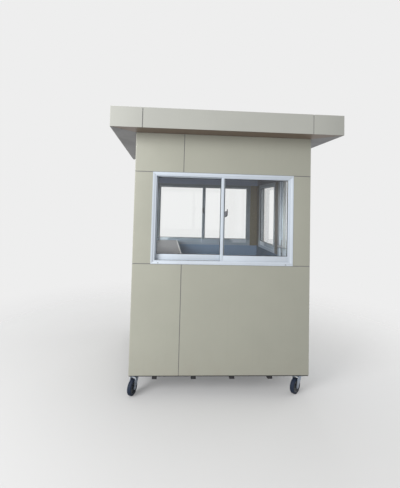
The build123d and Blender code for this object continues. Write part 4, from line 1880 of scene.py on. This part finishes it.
@dataclass
class Caster:
    """One swivel caster."""

    corner: str
    x: float
    y: float
    turn: float
    trail: float = 38 * MM
    wheel_radius: float = 62.5 * MM
    rim_radius: float = 47 * MM
    tread: float = 34 * MM
    inside: float = 22 * MM
    plate: float = 4 * MM
    crown_top: float = 141 * MM
    crown_length: float = 58 * MM
    boss: float = 15 * MM
    bend: float = 7 * MM
    axle_radius: float = 5 * MM
    nut_radius: float = 9 * MM
    washer_radius: float = 11 * MM
    web_bolts: int = 6
    bolt_circle: float = 26 * MM
    cut_angles: tuple[float, ...] = (17.5, 0, -20, -42, -64, -86, -108, -128, -145.4)

    def build(self) -> None:
        """Builds the tyre, the wheel centre and the fork."""
        swivel = Matrix.Translation((self.x, self.y, 0)) @ turned_about("Z", self.turn)
        hub = Matrix.Translation((self.trail, 0, self.wheel_radius))
        axle = swivel @ hub @ turned_about("X", 90)
        self.tyre(axle)
        self.centre(axle)
        self.fork(swivel, axle)

    def mirrored(self, half: Sequence[Pair]) -> list[Pair]:
        """Completes a section from its upper half.

        Args:
            half: Pairs of radius and height, from the inside out.

        Returns:
            The closed section.
        """
        return [*half, *[(radius, -height) for radius, height in reversed(half)]]

    def tyre(self, axle: Matrix) -> None:
        """Builds the tyre: round shoulders, a moulding line round the tread and a bead at the rim.

        Args:
            axle: The axle's place.
        """
        r, w, rim = self.wheel_radius, self.tread / 2, self.rim_radius
        shoulder = arc((r - 9 * MM, w - 9 * MM), 9 * MM, 82, 8, 7)
        half = [
            (rim + 0.1 * MM, w - 2.2 * MM), (rim + 1.2 * MM, w - 1.2 * MM),
            (rim + 2.6 * MM, w - 1.2 * MM), (rim + 3.6 * MM, w - 0.2 * MM),
            *shoulder, (r, 2.2 * MM), (r - 0.7 * MM, 1.6 * MM), (r - 0.7 * MM, 0.7 * MM), (r, 0.3 * MM),
        ]
        piece = Piece(f"tyre_{self.corner}", "caster_rubber", f"wheel_{self.corner}")
        piece.add(turned(self.mirrored(half), 64), axle)
        piece.done([f"caster_tyre_{self.corner}"])

    def centre(self, axle: Matrix) -> None:
        """Builds the wheel centre: a rim, a dished web and a hub with its bearing cap.

        Args:
            axle: The axle's place.
        """
        w = self.tread / 2
        r = self.rim_radius
        half = [
            (5.2 * MM, w - 1 * MM), (12 * MM, w - 1 * MM), (13.5 * MM, w - 2.2 * MM), (15 * MM, 7 * MM),
            (18 * MM, 4.2 * MM), (34 * MM, 4.2 * MM), (38 * MM, 6 * MM), (40.5 * MM, w - 3.6 * MM),
            (42 * MM, w - 2.4 * MM), (r - 1 * MM, w - 2.4 * MM), (r, w - 3.2 * MM),
        ]
        piece = Piece(f"wheel_centre_{self.corner}", "caster_zinc", f"wheel_{self.corner}")
        piece.add(turned(self.mirrored(half), 56), axle)
        for index in range(self.web_bolts):
            turn = turned_about("Z", 360 / self.web_bolts * index)
            place = axle @ turn @ Matrix.Translation(ALONG * self.bolt_circle)
            piece.add(turned_pin(2.6 * MM, -5.4 * MM, 5.4 * MM, 0.7 * MM, 14), place)
        piece.done([f"caster_wheel_{self.corner}"], WHEEL_CENTRE)

    def fork(self, swivel: Matrix, axle: Matrix) -> None:
        """Builds the pressed fork, its axle bolt and nuts.

        Args:
            swivel: The swivel's place.
            axle: The axle's place.
        """
        outside = self.inside + self.plate
        top = self.crown_top
        foot = self.wheel_radius - self.boss - 5 * MM
        bend, tight = self.bend, self.bend - self.plate
        outer = [(outside, foot), *arc((outside - bend, top - bend), bend, 0, 90, 5)]
        middle = (self.inside - tight, top - self.plate - tight)
        inner = [(self.inside, foot), *arc(middle, tight, 0, 90, 4)]
        far_outer, far_inner = ([(-y, z) for y, z in reversed(side)] for side in (outer, inner))
        outline = [*outer, *far_outer, *reversed(far_inner), *reversed(inner)]
        start = -self.crown_length / 2
        reach = self.trail + self.boss + 5 * MM
        body = prism(outline, ALONG * start, INWARD, UP, ALONG * (reach - start))
        centre = Vector((self.trail, 0, self.wheel_radius))
        for angle in self.cut_angles:
            way = Vector((math.cos(math.radians(angle)), 0, math.sin(math.radians(angle))))
            trim(body, centre + way * self.boss, way)
        for sign in (-1, 1):
            corner = Vector((start + 4 * MM, 0, 0))
            trim(body, corner + Vector((0, sign * outside, 0)), Vector((-1, sign, 0)))
        piece = Piece(f"fork_{self.corner}", "caster_zinc", f"swivel_{self.corner}")
        piece.add(soften(body, 0.9 * MM, 2, 40), swivel)
        piece.add(turned_pin(self.axle_radius, -outside - 1 * MM, outside + 1 * MM, 0.5 * MM), axle)
        for way in (-1, 1):
            seat = way * outside
            collar = sorted((seat - way * 0.5 * MM, seat + way * 1.2 * MM))
            piece.add(turned_pin(self.washer_radius, collar[0], collar[1], 0.5 * MM, 32), axle)
            span = sorted((seat + way * 1 * MM, seat + way * 4.8 * MM))
            piece.add(turned_pin(self.nut_radius, span[0], span[1], 0.8 * MM, 6), axle)
        piece.done([f"caster_fork_{self.corner}"])


@dataclass
class CasterSet:
    """The four casters, and the plates that hold them to the base frame.

    The race's section is in millimetres, as pairs of radius and height. The kingpin and its nut each
    have their radius, bottom and top.
    """

    left_x: float = -702 * MM
    right_x: float = 676 * MM
    end_y: float = 690 * MM
    left_turn: float = -113
    right_turn: float = -140
    base: float = 157 * MM
    plate_width: float = 84 * MM
    plate_length: float = 100 * MM
    thickness: float = 4 * MM
    bolt_x: float = 33 * MM
    bolt_y: float = 40 * MM
    kingpin: tuple[float, ...] = (7 * MM, 133 * MM, 150 * MM)
    kingpin_nut: tuple[float, ...] = (13 * MM, 132.8 * MM, 136.6 * MM)
    race: tuple[Pair, ...] = (
        (12, 141.4), (24, 141.4), (27.5, 143), (28.8, 145.4), (27, 146.2), (27, 146.9), (29, 147.6),
        (29, 149.4), (26, 152), (25, 153.5), (12, 153.5),
    )

    def build(self) -> None:
        """Builds the casters and their plates."""
        plates = Piece("caster_top_plates", "caster_zinc")
        bolts = Piece("caster_plate_bolts", "satin_hardware")
        for end, y in (("front", -self.end_y), ("back", self.end_y)):
            hands = (("left", self.left_x, self.left_turn), ("right", self.right_x, self.right_turn))
            for hand, x, turn in hands:
                Caster(f"{end}_{hand}", x, y, turn).build()
                self.top_plate(plates, bolts, Matrix.Translation((x, y, 0)))
        plates.done(["caster_plates"])
        bolts.done()

    def top_plate(self, plates: Piece, bolts: Piece, place: Matrix) -> None:
        """Adds one plate with its two-part race, kingpin, nut and four bolts.

        Args:
            plates: Takes the zinc pieces.
            bolts: Takes the bolts.
            place: The swivel's place.
        """
        bottom = self.base - self.thickness
        outline = rounded_box(self.plate_width, self.plate_length, 10 * MM)
        plate = prism(outline, UP * bottom, ALONG, INWARD, UP * self.thickness)
        plates.add(soften(plate, 0.8 * MM, 2, 60), place)
        plates.add(turned([(radius * MM, level * MM) for radius, level in self.race], 48), place)
        plates.add(turned_pin(*self.kingpin, 0.8 * MM), place)
        plates.add(turned_pin(*self.kingpin_nut, 0.8 * MM, 6), place)
        for x in (-self.bolt_x, self.bolt_x):
            for y in (-self.bolt_y, self.bolt_y):
                at = place @ Matrix.Translation((x, y, 0))
                bolts.add(turned_pin(7.5 * MM, bottom - 1.2 * MM, bottom + 0.5 * MM, 0.3 * MM, 24), at)
                bolts.add(turned_pin(6.4 * MM, bottom - 5.6 * MM, bottom - 1 * MM, 0.7 * MM, 6), at)


@dataclass
class Counter:
    """The worktop along the left wall, with its edging and brackets."""

    lip: float = 12 * MM
    bracket: float = 8 * MM
    foot_plate: float = 4 * MM
    foot_half: float = 20 * MM
    screw_out: float = 13 * MM
    spacing: float = 500 * MM
    toe: float = 24 * MM

    def build(self) -> None:
        """Builds the top, the edging and the gussets."""
        place = Side.LEFT.place()
        low, high = Side.LEFT.box("counter_top")
        top = Piece("worktop", "counter_laminate")
        top.add(soften(block(low, high), 1.2 * MM, 2), place)
        top.done(["counter_top"])
        low_edge, high_edge = Side.LEFT.box("counter_edge")
        edge = Piece("worktop_edging", "counter_edging")
        edge.add(soften(block(low_edge, high_edge), 0.8 * MM, 2), place)
        lip_low = (low_edge.x, low_edge.y - self.lip, high_edge.z - 0.2 * MM)
        lip = block(lip_low, (high_edge.x, high_edge.y, high_edge.z + 0.8 * MM))
        edge.add(soften(lip, 0.3 * MM, 1), place)
        edge.done(["counter_edge"])
        self.brackets(place, low)

    def brackets(self, place: Matrix, counter: Vector) -> None:
        """Builds the gussets, stepped round the window frame, with their screws.

        Args:
            place: Turns the left side's axes to the booth's.
            counter: Lowest corner of the worktop, in the left side's axes.
        """
        low, high = Side.LEFT.box("counter_brackets")
        shoulder = Side.LEFT.box("left_window_frame")[0].z - 0.3 * MM
        metal = Piece("worktop_gussets", "frame_steel")
        screws = Piece("gusset_screws", "satin_hardware")
        outline = [
            (low.y, low.z), (low.y, shoulder), (counter.y, shoulder), (counter.y, counter.z),
            (high.y, counter.z), (high.y, counter.z - self.toe), (low.y + self.toe, low.z),
        ]
        for at in (-self.spacing, 0.0, self.spacing):
            start = ALONG * (at - self.bracket / 2)
            plate = prism(outline, start, INWARD, UP, ALONG * self.bracket)
            metal.add(soften(plate, 1 * MM, 2), place)
            face = low.y + self.foot_plate
            foot = block(
                (at - self.foot_half, low.y, low.z), (at + self.foot_half, face, shoulder - 2 * MM),
            )
            metal.add(soften(foot, 0.8 * MM, 1), place)
            for side, level in ((-1, 0.2), (1, 0.2), (-1, 0.8), (1, 0.8)):
                z = low.z + (shoulder - low.z) * level
                spot = Matrix.Translation((at + side * self.screw_out, face, z)) @ turned_about("X", -90)
                screws.add(screw_head(3.6 * MM, 1.6 * MM), place @ spot)
        metal.done(["counter_brackets"])
        screws.done()


@dataclass
class Studio:
    """Pale floor and backdrop, soft lamps, and the camera at the picture's angle.

    The focal length and the view's centre are in pixels, the turns in radians, and the levels are
    shares of full white. Each lamp has its name, place, target, size and watts.
    """

    width: int = 400
    height: int = 488
    focal: float = 328.88
    centre_x: float = 185.13
    centre_y: float = 191.3
    place: tuple[float, float, float] = (-0.4869, -3.4983, 1.5571)
    yaw: float = -0.05776
    pitch: float = 0.04288
    roll: float = -0.02683
    backdrop: float = 0.855
    through: float = 0.89
    ambient: float = 0.46
    paving: float = 0.74
    bounce: float = 0.42
    floor_radius: float = 5.0
    floor_fade: tuple[float, ...] = (1.2, 3.8, 0.8, 0.0)
    lamps: tuple[tuple[Any, ...], ...] = (
        ("key", (-4.3, -4.1, 2.9), (-0.2, -0.75, 1.3), 2.6, 250),
        ("right", (4.6, 0.8, 2.8), (0, 0, 1.1), 3.0, 60),
        ("top", (0.0, 0.2, 6.2), (0, 0, 1.2), 4.0, 80),
        ("rim", (0.6, 5.0, 3.4), (0, 0, 1.2), 3.0, 80),
    )

    def build(self) -> None:
        """Sets up the view, the world, the floor, the lamps and the camera."""
        bpy.context.scene.view_settings.view_transform = "Standard"
        self.world()
        self.floor()
        for lamp in self.lamps:
            self.lamp(*lamp)
        self.camera()

    def world(self) -> None:
        """Lights from all round, and shows the backdrop to the camera, in metal and through glass."""
        world = bpy.data.worlds.new("studio")
        bpy.context.scene.world = world
        world.use_nodes = True
        graph = Graph(world.node_tree)
        shader = world.node_tree.nodes["Background"]
        path = graph.add("LightPath").outputs
        seen = graph.math("MAXIMUM", path["Is Camera Ray"], path["Is Glossy Ray"])
        light, backdrop, through = map(self.grey, (self.ambient, self.backdrop, self.through))
        colour = graph.mix(seen, light, backdrop)
        colour = graph.mix(path["Is Transmission Ray"], colour, through)
        bounced = graph.math("GREATER_THAN", path["Diffuse Depth"], 0.5)
        graph.feed(shader.inputs["Color"], graph.mix(bounced, colour, light))

    def grey(self, level: float) -> tuple[float, ...]:
        """A grey of the given level."""
        return opaque((level, level, level))

    def floor(self) -> None:
        """Lays a pale disc that keeps the shadow and fades out before its edge."""
        disc = bmesh.new()
        bmesh.ops.create_circle(disc, cap_ends=True, segments=96, radius=self.floor_radius)
        data = bpy.data.meshes.new("studio_floor")
        disc.to_mesh(data)
        disc.free()
        floor = bpy.data.objects.new("studio_floor", data)
        bpy.context.scene.collection.objects.link(floor)
        material = bpy.data.materials.new("pale floor")
        material.use_nodes = True
        graph = Graph(material.node_tree)
        shader = material.node_tree.nodes["Principled BSDF"]
        tones = map(self.grey, (self.bounce, self.paving))
        path = graph.add("LightPath").outputs
        shown = graph.math("MAXIMUM", path["Is Camera Ray"], path["Is Glossy Ray"])
        shown = graph.math("MAXIMUM", shown, path["Is Transmission Ray"])
        direct = graph.math("LESS_THAN", path["Diffuse Depth"], 0.5)
        picked = graph.math("MULTIPLY", shown, direct)
        graph.feed(shader.inputs["Base Color"], graph.mix(picked, *tones))
        shader.inputs["Roughness"].default_value = 0.9
        shader.inputs["Specular IOR Level"].default_value = 0.0
        far = graph.add("VectorMath", {"operation": "LENGTH"})
        graph.feed(far.inputs[0], graph.place())
        graph.feed(shader.inputs["Alpha"], graph.ramp(far.outputs["Value"], *self.floor_fade))
        data.materials.append(material)
        floor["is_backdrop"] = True

    def lamp(
        self, name: str, place: Sequence[float], target: Sequence[float], size: float, power: float,
    ) -> None:
        """Hangs a soft square lamp.

        Args:
            name: Its name.
            place: Where it hangs.
            target: The point that it faces.
            size: Length of its sides.
            power: Its power in watts.
        """
        data = bpy.data.lights.new(name, "AREA")
        data.shape = "SQUARE"
        data.size = size
        data.energy = power
        lamp = bpy.data.objects.new(name, data)
        bpy.context.scene.collection.objects.link(lamp)
        lamp.location = place
        lamp.rotation_mode = "QUATERNION"
        lamp.rotation_quaternion = (Vector(target) - Vector(place)).to_track_quat("-Z", "Y")
        lamp.visible_camera = False
        lamp.visible_transmission = False

    def camera(self) -> None:
        """Sets the camera from the solved place, turns and lens."""
        data = bpy.data.cameras.new("view")
        data.sensor_width = 36.0
        long_side = max(self.width, self.height)
        data.lens = self.focal / long_side * data.sensor_width
        data.shift_x = (self.width / 2 - self.centre_x) / long_side
        data.shift_y = (self.centre_y - self.height / 2) / long_side
        data.clip_start = 0.05
        data.clip_end = 60.0
        camera = bpy.data.objects.new("view", data)
        bpy.context.scene.collection.objects.link(camera)
        cy, sy = math.cos(self.yaw), math.sin(self.yaw)
        cp, sp = math.cos(self.pitch), math.sin(self.pitch)
        cr, sr = math.cos(self.roll), math.sin(self.roll)
        yawed = Matrix(((cy, sy, 0), (-sy, cy, 0), (0, 0, 1)))
        pitched = Matrix(((1, 0, 0), (0, cp, sp), (0, -sp, cp)))
        rolled = Matrix(((cr, 0, -sr), (0, 1, 0), (sr, 0, cr)))
        right, forward, up = rolled @ pitched @ yawed
        turn = Matrix((right, up, -forward)).transposed().to_4x4()
        camera.matrix_world = Matrix.Translation(self.place) @ turn
        bpy.context.scene.camera = camera


def main() -> None:
    """Dresses the frame and builds every piece, in order."""
    logging.basicConfig(level=logging.INFO, format="%(message)s")
    dress_nodes()
    Studio().build()
    Cladding().build()
    RoofBox().build()
    for side in Side:
        TrackWindow(side, side is not Side.RIGHT).build()
    Door().build()
    CasterSet().build()
    Counter().build()
    visual_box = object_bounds()
    boxes = {"cad": cad_box, "visual": visual_box}
    sizes = {name: [list(corner) for corner in box] for name, box in boxes.items()}
    log.info("box: %s", sizes)


if __name__ == "__main__":
    main()
